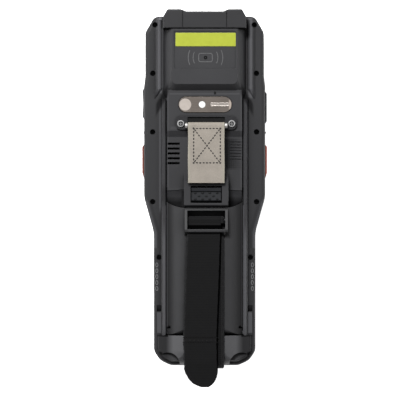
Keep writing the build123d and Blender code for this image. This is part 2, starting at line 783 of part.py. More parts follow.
# ---- parts that close the shell ----
def front_housing():
    """The front half: rim, face with the display window and key openings, and the side wall."""
    body = upright(plan(), 0, SPLIT_Z)
    front_rim = body.faces().sort_by(Axis.Z)[0].edges()
    body = chamfer(front_rim, 0.9)
    body -= upright(plan(RIM_WIDE), 0, FACE_Z)
    body -= upright(plan(WALL), FACE_Z + SKIN, SPLIT_Z)
    body += screw_bosses(FACE_Z + SKIN - 0.5, SPLIT_Z)
    seat = slab(-GLASS_HALF, GLASS_HALF, GLASS_Y0, GLASS_Y1, 0, FACE_Z + GLASS_THICK, 3.0)
    body -= seat
    body -= display_window(0, SPLIT_Z)
    body -= [key_block(name, KEY_GAP, 0, FACE_Z + SKIN) for name in key_table()]
    body -= [bore_z(x, y, SCREW_TIP_Z, SPLIT_Z, SCREW_R + SEAT_GAP) for x, y in boss_spots()]
    return body - dock_seats()


def display_window(z0, z1, inset=0.0):
    """The opening behind the glass."""
    edge = GLASS_LEDGE + inset
    return block(-GLASS_HALF + edge, GLASS_HALF - edge, GLASS_Y0 + edge, GLASS_Y1 - edge, z0, z1)


def key_table():
    """Every key with its middle and size; seen from the front, the left is at +X."""
    table = dict(KEYS)
    wide, high = DIGIT_SIZE
    for i in range(12):
        row, column = divmod(i, 3)
        spot = (DIGIT_STEP[0] * (1 - column), DIGIT_TOP_Y - DIGIT_STEP[1] * row)
        table[f"key_{DIGIT_NAMES[i]}"] = (*spot, wide, high)
    return table


def key_block(name, grow, z0, z1):
    """A key's plan raised between two levels, grown by a margin."""
    x, y, wide, high = key_table()[name]
    return block(x - wide / 2 - grow, x + wide / 2 + grow, y - high / 2 - grow, y + high / 2 + grow, z0, z1)


def key(name):
    """A key cap with its inner flange."""
    inside = FACE_Z + SKIN
    cap = key_block(name, 0, KEY_TOP_Z, inside)
    cap = chamfer(cap.edges().filter_by(Axis.Z), 0.9)
    cap = chamfer(cap.faces().sort_by(Axis.Z)[0].edges(), 0.5)
    return cap + key_block(name, KEY_FLANGE_WIDE, inside, inside + KEY_FLANGE_Z)


def keypad_mat():
    """The rubber sheet of domes under the keys."""
    z0 = FACE_Z + SKIN + KEY_FLANGE_Z + KEY_TRAVEL + SEAT_GAP
    low = DIGIT_TOP_Y - 3 * DIGIT_STEP[1] - 5.5
    sheet = slab(-MAT_HALF, MAT_HALF, low, GLASS_Y0 - 3.2, z0, z0 + MAT_THICK, 2.0)
    foot = both_sides(block(MAT_HALF - 0.5, MAT_HALF, low + 3, GLASS_Y0 - 6, FACE_Z + SKIN, z0))
    return sheet + foot


def housing_gasket():
    """The seal between the two halves."""
    z1 = SPLIT_Z + GASKET
    ring = upright(plan(0.4), SPLIT_Z, z1) - upright(plan(WALL - 0.1), SPLIT_Z, z1)
    return ring - [bore_z(x, y, SPLIT_Z - 1, z1 + 1, SCREW_R + SEAT_GAP) for x, y in boss_spots()]


def scanner_cap():
    """The bumper of the scanning end, with its two ears and the window's frame."""
    half = [
        (EAR_IN - 1.2, CAP_TOP_Y, 1.0),
        (EAR_IN + 1.6, EAR_TOP_Y, 1.0),
        (EAR_OUT - 1.4, EAR_TOP_Y, 1.2),
        (CAP_HALF, CAP_TOP_Y - 3.2, 2.0),
        (CAP_HALF, CAP_Y0, 0),
    ]
    whole = half + [(-x, y, r) for x, y, r in reversed(half)]
    line = FilletPolyline(*[(x, y) for x, y, r in whole], radius=[r for x, y, r in whole], close=True)
    face = make_face(line)
    body = upright(face, SPLIT_Z + GASKET, CAP_Z)
    body = chamfer(body.faces().sort_by(Axis.Z)[-1].edges(), 0.8)
    lip = upright(face, 3.0, SPLIT_Z + GASKET) & block(-60, 60, HEAD_TOP_Y, 200, 0, 60)
    body += lip
    body -= block(-20.5, 20.5, CAP_Y0 - 1, CAP_TOP_Y - 2.0, SPLIT_Z, CAP_Z - SKIN)
    body -= window_block(0, CAP_TOP_Y - WINDOW_THICK - 0.4, CAP_TOP_Y + 2)
    grooves = both_sides(block(EAR_IN + 0.4, EAR_IN + 0.9, CAP_Y0 - 1, 200, CAP_Z - 0.35, CAP_Z + 1))
    return body - grooves


def window_block(margin, y0, y1):
    """The scan window's opening between two levels along Y."""
    half = WINDOW_HALF + margin
    return block(-half, half, y0, y1, WINDOW_Z0 - margin, WINDOW_Z1 + margin)


def scan_window():
    """The clear window in the scanning end."""
    return window_block(0, CAP_TOP_Y - WINDOW_THICK - 0.4, CAP_TOP_Y - 0.4)


def scan_engine():
    """The barcode engine behind the window."""
    long, deep, high = ENGINE
    y1 = CAP_TOP_Y - 2.0 - WINDOW_THICK + 1.2
    z0 = (WINDOW_Z0 + WINDOW_Z1 - high) / 2
    body = block(-long / 2 + 1.5, long / 2 - 1.5, y1 - deep, y1, z0, z0 + high)
    eye = Pos(4.0, y1 - 0.6, z0 + high / 2) * Rot(90, 0, 0) * Cylinder(3.2, 1.2)
    foot = block(-6, 6, y1 - deep, y1 - deep + 6, BOARD_Z1, z0)
    return body - eye + foot


def bottom_cap():
    """The raised cap of the lower end: a middle boss under the strap and lower corner pads."""
    zone = block(-60, 60, -200, BAY_END_Y, 0, 60)
    pads = upright(plan(CAP_INSET), CAP_FOOT_Z, CAP_PAD_Z) & zone
    pads = chamfer(pads.faces().sort_by(Axis.Z)[-1].edges(), 0.9)
    end_y = FOOT_Y + 0.4
    bend_y = end_y + CAP_END_R
    lean = CAP_END_R * (1 - cos(radians(45)))
    side = [
        Line((0, BAY_END_Y, CAP_FOOT_Z), (0, end_y, CAP_FOOT_Z)),
        Line((0, end_y, CAP_FOOT_Z), (0, end_y, CAP_BOSS_Z - CAP_END_R)),
        ThreePointArc(
            (0, end_y, CAP_BOSS_Z - CAP_END_R),
            (0, end_y + lean, CAP_BOSS_Z - lean),
            (0, bend_y, CAP_BOSS_Z),
        ),
        Line((0, bend_y, CAP_BOSS_Z), (0, BAY_END_Y - 0.5, CAP_BOSS_Z)),
        Line((0, BAY_END_Y - 0.5, CAP_BOSS_Z), (0, BAY_END_Y, CAP_BOSS_Z - 0.5)),
        Line((0, BAY_END_Y, CAP_BOSS_Z - 0.5), (0, BAY_END_Y, CAP_FOOT_Z)),
    ]
    rounded = extrude(make_face(Wire(side)), 60, dir=(1, 0, 0), both=True)
    crown = [
        (COVER_FLAT_HALF, CAP_BOSS_Z),
        (COVER_SHOULDER_HALF, CAP_BOSS_Z - 1.5),
        (CAP_BOSS_HALF, CAP_BOSS_Z - 3.6),
        (CAP_BOSS_HALF, CAP_FOOT_Z),
    ]
    section = crown + [(-x, z) for x, z in reversed(crown)]
    boss = upright(cap_boss_plan(), CAP_FOOT_Z, CAP_BOSS_Z + 1) & along_y(section, FOOT_Y, BAY_END_Y)
    return (pads + boss) & rounded


def cover_section(drop=0.0):
    """The cover's cross section: flat under the strap, rounded down to thin side edges."""
    z1 = COVER_Z - drop
    half = COVER_HALF - drop
    shoulder = COVER_SHOULDER_HALF - drop
    right = [
        Line((0, 0, z1), (COVER_FLAT_HALF, 0, z1)),
        ThreePointArc(
            (COVER_FLAT_HALF, 0, z1),
            ((COVER_FLAT_HALF + shoulder) / 2, 0, z1 - 0.32 * (COVER_Z - COVER_SHOULDER_Z)),
            (shoulder, 0, COVER_SHOULDER_Z - drop),
        ),
        Line((shoulder, 0, COVER_SHOULDER_Z - drop), (half, 0, COVER_EDGE_Z - drop / 2)),
        Line((half, 0, COVER_EDGE_Z - drop / 2), (half, 0, COVER_LOW_Z - drop)),
        Line((half, 0, COVER_LOW_Z - drop), (0, 0, COVER_LOW_Z - drop)),
    ]
    left = [mirror(edge, Plane.YZ) for edge in right]
    return make_face(Wire([e.edge() for e in right] + [e.edge() for e in left]))


def cover_bulk(drop=0.0):
    """The cover's form without its hollow: the section drawn out, rounded about the hinge."""
    face = Pos(0, BAY_END_Y - 2, 0) * cover_section(drop)
    long = extrude(face, 90, dir=(0, 1, 0))
    reach = upright(bay_plan(COVER_HALF - drop, COVER_TOP_GAP + drop), 0, 60)
    ahead = block(-60, 60, HINGE_Y, 60, 0, 60)
    barrel = rod_x(-60, 60, HINGE_Y, HINGE_Z, HINGE_BARREL_R - drop)
    return long & reach & (ahead + barrel)


def battery_cover():
    """The hinged lid: a domed shell with knuckles, the strap loop and its pocket."""
    shell = cover_bulk() - cover_bulk(COVER_WALL)
    shell -= block(-BAY_HALF, BAY_HALF, HINGE_Y, BAY_TOP_Y - COVER_WALL - 1, 0, COVER_LOW_Z + 0.5)
    shell -= block(-COVER_HALF - 1, COVER_HALF + 1, BAY_END_Y, HINGE_Y, 0, HINGE_Z - 0.5)
    x0 = HINGE_EAR_X + HINGE_EAR_WIDE / 2 + 0.2
    knuckle = rod_x(x0, x0 + HINGE_KNUCKLE_WIDE, HINGE_Y, HINGE_Z, HINGE_BARREL_R - 0.4)
    shell += both_sides(knuckle)
    shell += loop_frame() + pocket_box()
    shell -= loop_cuts()
    return shell - rod_x(-60, 60, HINGE_Y, HINGE_Z, HINGE_PIN_R + RUN_GAP)


def loop_frame():
    """The raised frame round the strap pin, highest at the bar that the strap passes under."""
    side = [
        (LOOP_TOP_Y, COVER_Z - 1.5),
        (LOOP_TOP_Y, LOOP_LOW_Z - 0.4),
        (LOOP_TOP_Y - 0.5, LOOP_LOW_Z),
        (LOOP_WINDOW_Y0 - 0.2, LOOP_HIGH_Z),
        (LOOP_BOTTOM_Y + 0.4, LOOP_HIGH_Z),
        (LOOP_BOTTOM_Y, LOOP_HIGH_Z - 0.4),
        (LOOP_BOTTOM_Y, LOOP_HIGH_Z - LOOP_BAR_THICK),
        (LOOP_BOTTOM_Y - 2.2, COVER_Z - 0.6),
        (LOOP_BOTTOM_Y - 2.2, COVER_Z - 1.5),
    ]
    return along_x(side, STRAP_X - LOOP_HALF, STRAP_X + LOOP_HALF)


def pocket_box():
    """The walls and floor of the strap pocket, inside the cover."""
    half = LOOP_WINDOW_HALF + 1.2
    floor = LOOP_FLOOR_Z - 1.3
    side = [
        (LOOP_TOP_Y - 0.1, floor),
        (LOOP_TOP_Y - 0.1, COVER_Z - 1),
        (STRAP_EXIT_Y - 0.5, COVER_Z - 1),
        (STRAP_EXIT_Y - 0.5, COVER_Z - 2.2),
        (LOOP_WINDOW_Y0 + 3.0, floor),
    ]
    return along_x(side, STRAP_X - half, STRAP_X + half)


def loop_cuts():
    """The window over the pin and the channel that the strap leaves by."""
    half = LOOP_WINDOW_HALF
    side = [
        (LOOP_WINDOW_Y1, LOOP_FLOOR_Z),
        (LOOP_WINDOW_Y1, LOOP_HIGH_Z + 2),
        (LOOP_WINDOW_Y0, LOOP_HIGH_Z + 2),
        (LOOP_WINDOW_Y0, LOOP_HIGH_Z - LOOP_BAR_THICK),
        (STRAP_EXIT_Y - 0.8, LOOP_HIGH_Z - LOOP_BAR_THICK),
        (STRAP_EXIT_Y - 0.8, COVER_Z),
        (LOOP_WINDOW_Y0 + 3.0, LOOP_FLOOR_Z),
    ]
    window = along_x(side, STRAP_X - half, STRAP_X + half)
    bore = rod_x(STRAP_X - half - 0.8, STRAP_X + half + 0.8, STRAP_PIN_Y, STRAP_PIN_Z, STRAP_PIN_R)
    return [window, bore]


def strap_pin():
    """The pin in the cover's loop that the strap turns back on."""
    reach = LOOP_WINDOW_HALF + 0.8
    return rod_x(STRAP_X - reach, STRAP_X + reach, STRAP_PIN_Y, STRAP_PIN_Z, STRAP_PIN_R)


def cover_hinge_pin():
    """The pin through the ears and the cover's knuckles."""
    reach = HINGE_EAR_X + HINGE_EAR_WIDE / 2 + HINGE_KNUCKLE_WIDE
    return rod_x(-reach, reach, HINGE_Y, HINGE_Z, HINGE_PIN_R)


def battery_pack():
    """The battery, with softly rounded long edges."""
    gap = SLIDE_GAP
    body = block(-BAY_HALF + gap, BAY_HALF - gap, PACK_Y0, PACK_Y1, BAY_FLOOR_Z, BAY_FLOOR_Z + PACK_THICK)
    return fillet(body.edges().filter_by(Axis.Y), 2.0)


def battery_contacts():
    """The contact block between the battery and the bay's upper wall."""
    y1 = BAY_TOP_Y
    y_face = PACK_Y1 + BLADE_OUT
    half = CONTACT_WIDE / 2
    body = block(-half, half, y_face, y1, BAY_FLOOR_Z, BAY_FLOOR_Z + CONTACT_HIGH)
    z0 = BAY_FLOOR_Z + 2
    blades = [block(x - 0.6, x + 0.6, PACK_Y1, y_face, z0, z0 + 3) for x in BLADE_XS]
    return body + blades


# ---- latch ----
def battery_latch():
    """The sliding latch: the plate under the frame and the button that stands in its mouth."""
    x0 = STRAP_X - LATCH_PLATE_HALF
    x1 = STRAP_X + LATCH_PLATE_HALF
    tongue = block(x0, x1, FRAME_Y0 + 0.4, LATCH_MOUTH_Y1 - 0.6, LATCH_PLATE_Z0, LATCH_PLATE_Z1)
    half = LATCH_MOUTH_HALF - SLIDE_GAP * 1.5
    y1 = LATCH_MOUTH_Y1 - LATCH_TRAVEL - SEAT_GAP
    y0 = LATCH_MOUTH_Y0 + LATCH_TRAVEL
    side = [
        (y0, LATCH_PLATE_Z1 - 0.5),
        (y0, LATCH_TOP_Z - 0.5),
        (y0 + 0.5, LATCH_TOP_Z - 0.1),
        (y1 - 2.2, LATCH_TOP_Z - 0.5),
        (y1 - 1.8, LATCH_TOP_Z + 0.2),
        (y1, LATCH_TOP_Z + 0.2),
        (y1, LATCH_PLATE_Z1 - 0.5),
    ]
    button = along_x(side, STRAP_X - half, STRAP_X + half)
    return tongue + button


def latch_spring():
    """The wave spring that pushes the latch towards the cover."""
    y0 = LATCH_MOUTH_Y1 - 0.6
    y1 = LATCH_MOUTH_Y1 + 3.4
    count = 6
    step = 2 * (LATCH_PLATE_HALF - 2.0) / count
    points = []
    for i in range(count + 1):
        y = y0 + 0.25 if i % 2 else y1 - 0.25
        points.append((STRAP_X - LATCH_PLATE_HALF + 2.0 + i * step, y))
    wave = trace(Polyline(*points), 0.35)
    return upright(wave, LATCH_PLATE_Z0 + 0.2, LATCH_PLATE_Z1 - 0.2)


# ---- hand strap ----
def ribbon(points, radii, wide, middle):
    """A strap of even thickness along a side route of (y, z) points."""
    line = FilletPolyline(*[(y, z) for y, z in points], radius=radii)
    band = trace(line, STRAP_THICK)
    turned = Plane.YZ * band
    return Pos(middle, 0, 0) * extrude(turned, wide / 2, both=True)


def hand_strap():
    """The lower layer: from the foot bar over the lower end, under the loop and round the pin."""
    y_pin = STRAP_PIN_Y + STRAP_WRAP_R + 0.01
    foot_r = FOOT_BAR_R + SEAT_GAP + STRAP_THICK / 2
    back_y = FOOT_BAR_Y + foot_r
    route = [
        (FOOT_BAR_Y - 2.4, FOOT_BAR_Z - foot_r),
        (back_y, FOOT_BAR_Z - foot_r),
        (back_y, FOOT_BAR_Z + foot_r),
        (STRAP_TURN_Y, FOOT_BAR_Z + foot_r),
        (STRAP_TURN_Y, STRAP_LOW_Z),
        (STRAP_EXIT_Y, STRAP_LOW_Z),
        (LOOP_WINDOW_Y0 + 3.0, STRAP_PIN_Z - STRAP_WRAP_R),
        (y_pin, STRAP_PIN_Z - STRAP_WRAP_R),
        (y_pin, STRAP_PIN_Z + STRAP_WRAP_R),
        (LOOP_WINDOW_Y0 + 3.4, STRAP_PIN_Z + STRAP_WRAP_R),
    ]
    r = STRAP_WRAP_R * 0.98
    radii = [foot_r * 0.98, foot_r * 0.98, 0.9, CAP_END_R + 1.0, 6.0, 3.0, r, r]
    return ribbon(route, radii, STRAP_WIDE, STRAP_X)


def strap_flap():
    """The upper layer, fastened on the lower one; its rounded tail hangs past the end."""
    start_y = LOOP_WINDOW_Y0 + 3.4
    route = [
        (start_y, STRAP_PIN_Z + STRAP_WRAP_R),
        (STRAP_EXIT_Y + 1.8, STRAP_HIGH_Z),
        (TAIL_BEND_Y, STRAP_HIGH_Z),
        (TAIL_Y, STRAP_HIGH_Z - TAIL_DROOP),
    ]
    band = ribbon(route, [8.0, 20.0], 60, 0)
    return band & upright(flap_plan(), 0, 60)


def on_tail(side, reach, start_y, turn):
    """A point on one side of the tail's round end; 0 is where it starts and 90 its tip."""
    x = TAIL_X + side * reach * cos(radians(turn))
    return (x, start_y - (start_y - TAIL_Y) * sin(radians(turn)))


def flap_plan():
    """The flap from above: it drifts to the left and ends in a round, lopsided tongue."""
    half = FLAP_WIDE / 2
    start_y = LOOP_WINDOW_Y0 + 3.4
    top = STRAP_X - 0.2
    right = [on_tail(1, TAIL_RIGHT, TAIL_RIGHT_Y, turn) for turn in (0, 30, 60, 90)]
    left = [on_tail(-1, TAIL_LEFT, TAIL_LEFT_Y, turn) for turn in (90, 60, 30, 0)]
    edges = [
        Line((top - half, start_y), (top + half, start_y)),
        Line((top + half, start_y), right[0]),
        Spline(*right, tangents=((0, -1), (-1, 0))),
        Spline(*left, tangents=((-1, 0), (0, 1))),
        Line(left[-1], (top - half, start_y)),
    ]
    return make_face(Wire(edges))


def strap_foot_bar():
    """The bar in the lower end's slot."""
    reach = STRAP_WIDE / 2 + 3.2
    return rod_x(STRAP_X - reach, STRAP_X + reach, FOOT_BAR_Y, FOOT_BAR_Z, FOOT_BAR_R)


# ---- tab and bracket ----
def strap_bracket():
    """The dark plate with two lugs that hold the steel bar."""
    z0 = CAMERA_DECK_Z
    z1 = z0 + BRACKET_THICK
    plate = slab(STRAP_X - BRACKET_HALF, STRAP_X + BRACKET_HALF, BRACKET_Y0, BRACKET_Y1, z0, z1, 2.6)
    inner = BAR_HALF - LUG_WIDE - 0.05
    window = block(STRAP_X - inner, STRAP_X + inner, BRACKET_Y0 + 0.4, BRACKET_Y1 - 0.4, z0 - 1, z1 + 1)
    lugs = []
    for s in (1, -1):
        x0, x1 = sorted((STRAP_X + s * (BAR_HALF - LUG_WIDE), STRAP_X + s * BAR_HALF))
        lugs.append(block(x0, x1, BAR_Y - LUG_R, BAR_Y + LUG_R, z0, BAR_Z))
        lugs.append(rod_x(x0, x1, BAR_Y, BAR_Z, LUG_R))
    bores = [rod_z(STRAP_X + s * BRACKET_SCREW_X, BRACKET_SCREW_Y, z0 - 1, z1 + 1, SCREW_R + SEAT_GAP)
             for s in (1, -1)]
    return plate - window + lugs - bores - strap_bar()


def strap_bar():
    """The steel bar that the leather tab swings on."""
    return rod_x(STRAP_X - BAR_HALF, STRAP_X + BAR_HALF, BAR_Y, BAR_Z, BAR_R)


def bracket_screws():
    """The two cross-head screws of the bracket."""
    z0 = CAMERA_DECK_Z + BRACKET_THICK
    screws = []
    for s in (1, -1):
        x = STRAP_X + s * BRACKET_SCREW_X
        head = rod_z(x, BRACKET_SCREW_Y, z0, z0 + 0.9, 1.95)
        head = chamfer(head.faces().sort_by(Axis.Z)[-1].edges(), 0.3)
        shank = rod_z(x, BRACKET_SCREW_Y, z0 - BRACKET_THICK - 1.8, z0, SCREW_R)
        cross = [Box(2.2, 0.5, 0.8), Box(0.5, 2.2, 0.8)]
        screws.append(head + shank - [Pos(x, BRACKET_SCREW_Y, z0 + 0.9) * c for c in cross])
    return Part() + screws


def leather_tab():
    """The folded leather tab: a loop round the bar and two plies laid over the latch frame."""
    inner = BAR_R + RUN_GAP + 0.02
    outer = inner + TAB_PLY
    x0 = STRAP_X - TAB_WIDE / 2
    x1 = STRAP_X + TAB_WIDE / 2
    ring = rod_x(x0, x1, BAR_Y, BAR_Z, outer)
    side = [
        (BAR_Y, BAR_Z + outer),
        (TAB_END_Y, TAB_END_Z + TAB_PLY),
        (TAB_END_Y, TAB_END_Z - TAB_PLY),
        (BAR_Y - outer * 0.9, BAR_Z - outer * 0.4),
    ]
    return ring + along_x(side, x0, x1) - rod_x(x0 - 1, x1 + 1, BAR_Y, BAR_Z, inner)


# ---- camera ----
def camera_plate():
    """The metal plate with holes for the lens and the light."""
    z0 = CAMERA_DECK_Z - PLATE_SUNK
    z1 = z0 + PLATE_THICK
    plate = capsule(PLATE_LONG - 2 * SEAT_GAP, PLATE_WIDE - 2 * SEAT_GAP, PLATE_X, PLATE_Y, z0, z1)
    plate = chamfer(plate.faces().sort_by(Axis.Z)[-1].edges(), 0.3)
    holes = [rod_z(LENS_X, PLATE_Y, z0 - 1, z1 + 1, LENS_R), rod_z(FLASH_X, PLATE_Y, z0 - 1, z1 + 1, FLASH_R)]
    return plate - holes


def camera_lens():
    """The window over the camera."""
    z0 = CAMERA_DECK_Z - PLATE_SUNK
    return rod_z(LENS_X, PLATE_Y, z0, z0 + PLATE_THICK - 0.1, LENS_R - 0.05)


def flash_lens():
    """The diffuser of the camera light."""
    z0 = CAMERA_DECK_Z - PLATE_SUNK
    return rod_z(FLASH_X, PLATE_Y, z0, z0 + PLATE_THICK, FLASH_R - 0.05)


def camera_module():
    """The camera and its light on a small board under the deck."""
    ceiling = CAMERA_DECK_Z - SKIN
    barrel = rod_z(LENS_X, PLATE_Y, ceiling, CAMERA_DECK_Z - PLATE_SUNK, LENS_R - 0.9)
    body = block(LENS_X - 4.2, LENS_X + 4.2, PLATE_Y - 4.2, PLATE_Y + 4.2, ceiling - 3.4, ceiling)
    board = block(LENS_X - 5.5, FLASH_X + 4.0, PLATE_Y - 4.6, PLATE_Y + 4.6, ceiling - 4.4, ceiling - 3.4)
    light = rod_z(FLASH_X, PLATE_Y, ceiling - 3.4, CAMERA_DECK_Z - PLATE_SUNK, FLASH_R - 0.7)
    return body + [barrel, board, light]


def label_plate():
    """The bare yellow label."""
    z0 = PLATEAU_Z - LABEL_WELL_DEEP
    x0 = LABEL_X - LABEL_LONG / 2
    y0 = LABEL_Y - LABEL_WIDE / 2
    return slab(x0, x0 + LABEL_LONG, y0, y0 + LABEL_WIDE, z0, z0 + LABEL_THICK, 0.4)


def speaker():
    """The speaker under the slots."""
    z1 = SPEAKER_Z - SKIN
    mid_y = SLOT_TOP_Y - SLOT_PITCH * (SLOT_COUNT - 1) / 2
    body = slab(SLOT_X0 + 2.2, SLOT_X1 + 2.6, mid_y - 7.4, mid_y + 7.4, z1 - 3.2, z1, 2.0)
    return body


# ---- side controls ----
def scan_button(side):
    """An orange scan button: a rounded bar through the flank with a flange inside."""
    face_x = BELLY_HALF
    g = SLIDE_GAP
    wall_x = BELLY_HALF - WALL
    shape = [
        (wall_x, SCAN_Y0 + g),
        (face_x + 0.1, SCAN_Y0 + g),
        (face_x + SCAN_PROUD, SCAN_Y0 + 3.6),
        (face_x + SCAN_PROUD, SCAN_Y1 - 1.4),
        (face_x + 0.1, SCAN_Y1 - g),
        (wall_x, SCAN_Y1 - g),
    ]
    body = upright(make_face(Polyline(*shape, close=True)), SCAN_Z0 + g, SCAN_Z1 - g)
    body = chamfer(body.edges().filter_by(Axis.Y).sort_by(Axis.X)[-2:], 0.7)
    x0 = wall_x - KEY_FLANGE
    flange = block(x0, wall_x, SCAN_Y0 - 0.8, SCAN_Y1 + 0.8, SCAN_Z0 - 0.7, SCAN_Z1 + 0.7)
    button = body + flange
    return button if side > 0 else mirror(button, Plane.YZ)


def volume_key():
    """The volume rocker on the left flank, hung on its middle pivot."""
    wall_x = BELLY_HALF - WALL
    out = BELLY_HALF + VOLUME_PROUD
    g = 2 * SLIDE_GAP
    mid = (VOLUME_Y0 + VOLUME_Y1) / 2
    shape = [
        (-wall_x, VOLUME_Y0 + g),
        (-BELLY_HALF, VOLUME_Y0 + g),
        (-out, VOLUME_Y0 + g + 1.8),
        (-out + 0.25, mid),
        (-out, VOLUME_Y1 - g - 1.8),
        (-BELLY_HALF, VOLUME_Y1 - g),
        (-wall_x, VOLUME_Y1 - g),
    ]
    body = upright(make_face(Polyline(*shape, close=True)), SCAN_Z0 + SLIDE_GAP, SCAN_Z1 - SLIDE_GAP)
    pivot = rod_z(-wall_x, mid, SCAN_Z0 - 0.7, SCAN_Z1 + 0.7, VOLUME_PIVOT_R)
    return body + pivot


def port_flap():
    """The rubber door of the side port, hinged at its lower end."""
    g = SLIDE_GAP
    lid_in = BELLY_HALF - 0.9
    z0 = SCAN_Z0 - 1 + g
    z1 = SCAN_Z1 + 1 - g
    shape = [
        (lid_in, PORT_Y0 + g + 0.6),
        (BELLY_HALF + 0.1, PORT_Y0 + g),
        (BELLY_HALF + PORT_PROUD, PORT_Y0 + 1.4),
        (BELLY_HALF + PORT_PROUD, PORT_Y1 - 1.4),
        (BELLY_HALF + 0.1, PORT_Y1 - g),
        (lid_in, PORT_Y1 - g),
    ]
    lid = upright(make_face(Polyline(*shape, close=True)), z0, z1)
    y0 = PORT_MOUTH_Y0 + 0.5
    y1 = PORT_MOUTH_Y1 - 0.5
    plug = block(lid_in - 0.8, lid_in, y0, y1, SCAN_Z0 + 0.5, SCAN_Z1 - 0.5)
    return lid + plug


def usb_port():
    """The charging and data socket behind the port door."""
    x1 = BELLY_HALF - WALL - 0.2
    z0 = (SCAN_Z0 + SCAN_Z1) / 2 - 1.7
    mid = (PORT_MOUTH_Y0 + PORT_MOUTH_Y1) / 2
    body = block(x1 - 7.5, x1, mid - 4.6, mid + 4.6, z0, z0 + 3.4)
    mouth = block(x1 - 5.5, x1 + 1, mid - 3.9, mid + 3.9, z0 + 0.5, z0 + 2.9)
    tongue = block(x1 - 5.5, x1 - 0.8, mid - 2.8, mid + 2.8, z0 + 1.4, z0 + 2.0)
    foot = block(x1 - 7.5, x1 - 2.5, mid - 4.6, mid + 4.6, BOARD_Z1, z0)
    return body - mouth + tongue + foot


# ---- front and inside ----
def display_glass():
    """The glass over the display."""
    half = GLASS_HALF - SEAT_GAP
    y0 = GLASS_Y0 + SEAT_GAP
    y1 = GLASS_Y1 - SEAT_GAP
    return slab(-half, half, y0, y1, FACE_Z, FACE_Z + GLASS_THICK, 2.9)


def display_module():
    """The display in its tray, behind the glass."""
    z0 = FACE_Z + GLASS_THICK
    screen = display_window(z0, FACE_Z + SKIN, SEAT_GAP)
    tray = display_window(FACE_Z + SKIN, FACE_Z + SKIN + 2.0, SEAT_GAP)
    return screen + tray


def main_board():
    """The main board with its shields, held by the rear posts."""
    board = slab(-BOARD_HALF, BOARD_HALF, BOARD_Y0, BOARD_Y1, BOARD_Z0, BOARD_Z1, 2.0)
    ear = block(BOARD_HALF - 1, BOARD_HALF + 1.2, PORT_MOUTH_Y0 - 2, PORT_MOUTH_Y1 + 2, BOARD_Z0, BOARD_Z1)
    shields = [
        block(-18, -2, 30, 48, BOARD_Z1, BOARD_Z1 + 1.8),
        block(3, 17, 22, 40, BOARD_Z1, BOARD_Z1 + 1.8),
        block(-15, 15, 60, 74, BOARD_Z1, BOARD_Z1 + 1.6),
        block(-20, 20, 12, 30, BOARD_Z0 - 2.9, BOARD_Z0),
    ]
    return board + [ear] + shields


def dock_pads():
    """The gold charging contacts in the lower end."""
    pads = [Pos(x, FOOT_Y + WALL / 2, DOCK_Z) * Rot(90, 0, 0) * Cylinder(DOCK_R, WALL) for x in DOCK_X]
    return Part() + pads


def dock_seats():
    """The bores of the charging contacts."""
    return [Pos(x, FOOT_Y + WALL / 2, DOCK_Z) * Rot(90, 0, 0) * Cylinder(DOCK_R, WALL + 2) for x in DOCK_X]


def housing_screws():
    """The ten screws at the bottom of their wells."""
    screws = []
    for x, y in boss_spots():
        head = rod_z(x, y, WELL_Z, WELL_Z + SCREW_HEAD_HIGH, SCREW_HEAD_R)
        shank = bore_z(x, y, SCREW_TIP_Z + 0.5, WELL_Z, SCREW_R)
        socket = Pos(x, y, WELL_Z + SCREW_HEAD_HIGH) * Box(1.5, 0.4, 1.2)
        screws.append(head + shank - socket)
    return Part() + screws


def pieces():
    """Every piece of the terminal by name."""
    made = {
        "front_housing": front_housing,
        "rear_housing": rear_housing,
        "housing_gasket": housing_gasket,
        "housing_screws": housing_screws,
        "scanner_cap": scanner_cap,
        "scan_window": scan_window,
        "scan_engine": scan_engine,
        "bottom_cap": bottom_cap,
        "grip_pads": grip_pads,
        "label_plate": label_plate,
        "camera_plate": camera_plate,
        "camera_lens": camera_lens,
        "flash_lens": flash_lens,
        "camera_module": camera_module,
        "speaker": speaker,
        "strap_bracket": strap_bracket,
        "strap_bar": strap_bar,
        "bracket_screws": bracket_screws,
        "leather_tab": leather_tab,
        "battery_cover": battery_cover,
        "cover_hinge_pin": cover_hinge_pin,
        "strap_pin": strap_pin,
        "battery_pack": battery_pack,
        "battery_contacts": battery_contacts,
        "battery_latch": battery_latch,
        "latch_spring": latch_spring,
        "hand_strap": hand_strap,
        "strap_flap": strap_flap,
        "strap_foot_bar": strap_foot_bar,
        "scan_button_left": lambda: scan_button(-1),
        "scan_button_right": lambda: scan_button(1),
        "volume_key": volume_key,
        "port_flap": port_flap,
        "usb_port": usb_port,
        "display_glass": display_glass,
        "display_module": display_module,
        "keypad_mat": keypad_mat,
        "main_board": main_board,
        "dock_contacts": dock_pads,
    }
    for name in key_table():
        made[name] = lambda name=name: key(name)
    return made


def main():
    """Build and write every piece."""
    os.makedirs("parts", exist_ok=True)
    for name, make in pieces().items():
        export_step(make(), f"parts/{name}.step")


main()
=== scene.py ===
import math

import bmesh
import bpy
from mathutils import Matrix, Vector


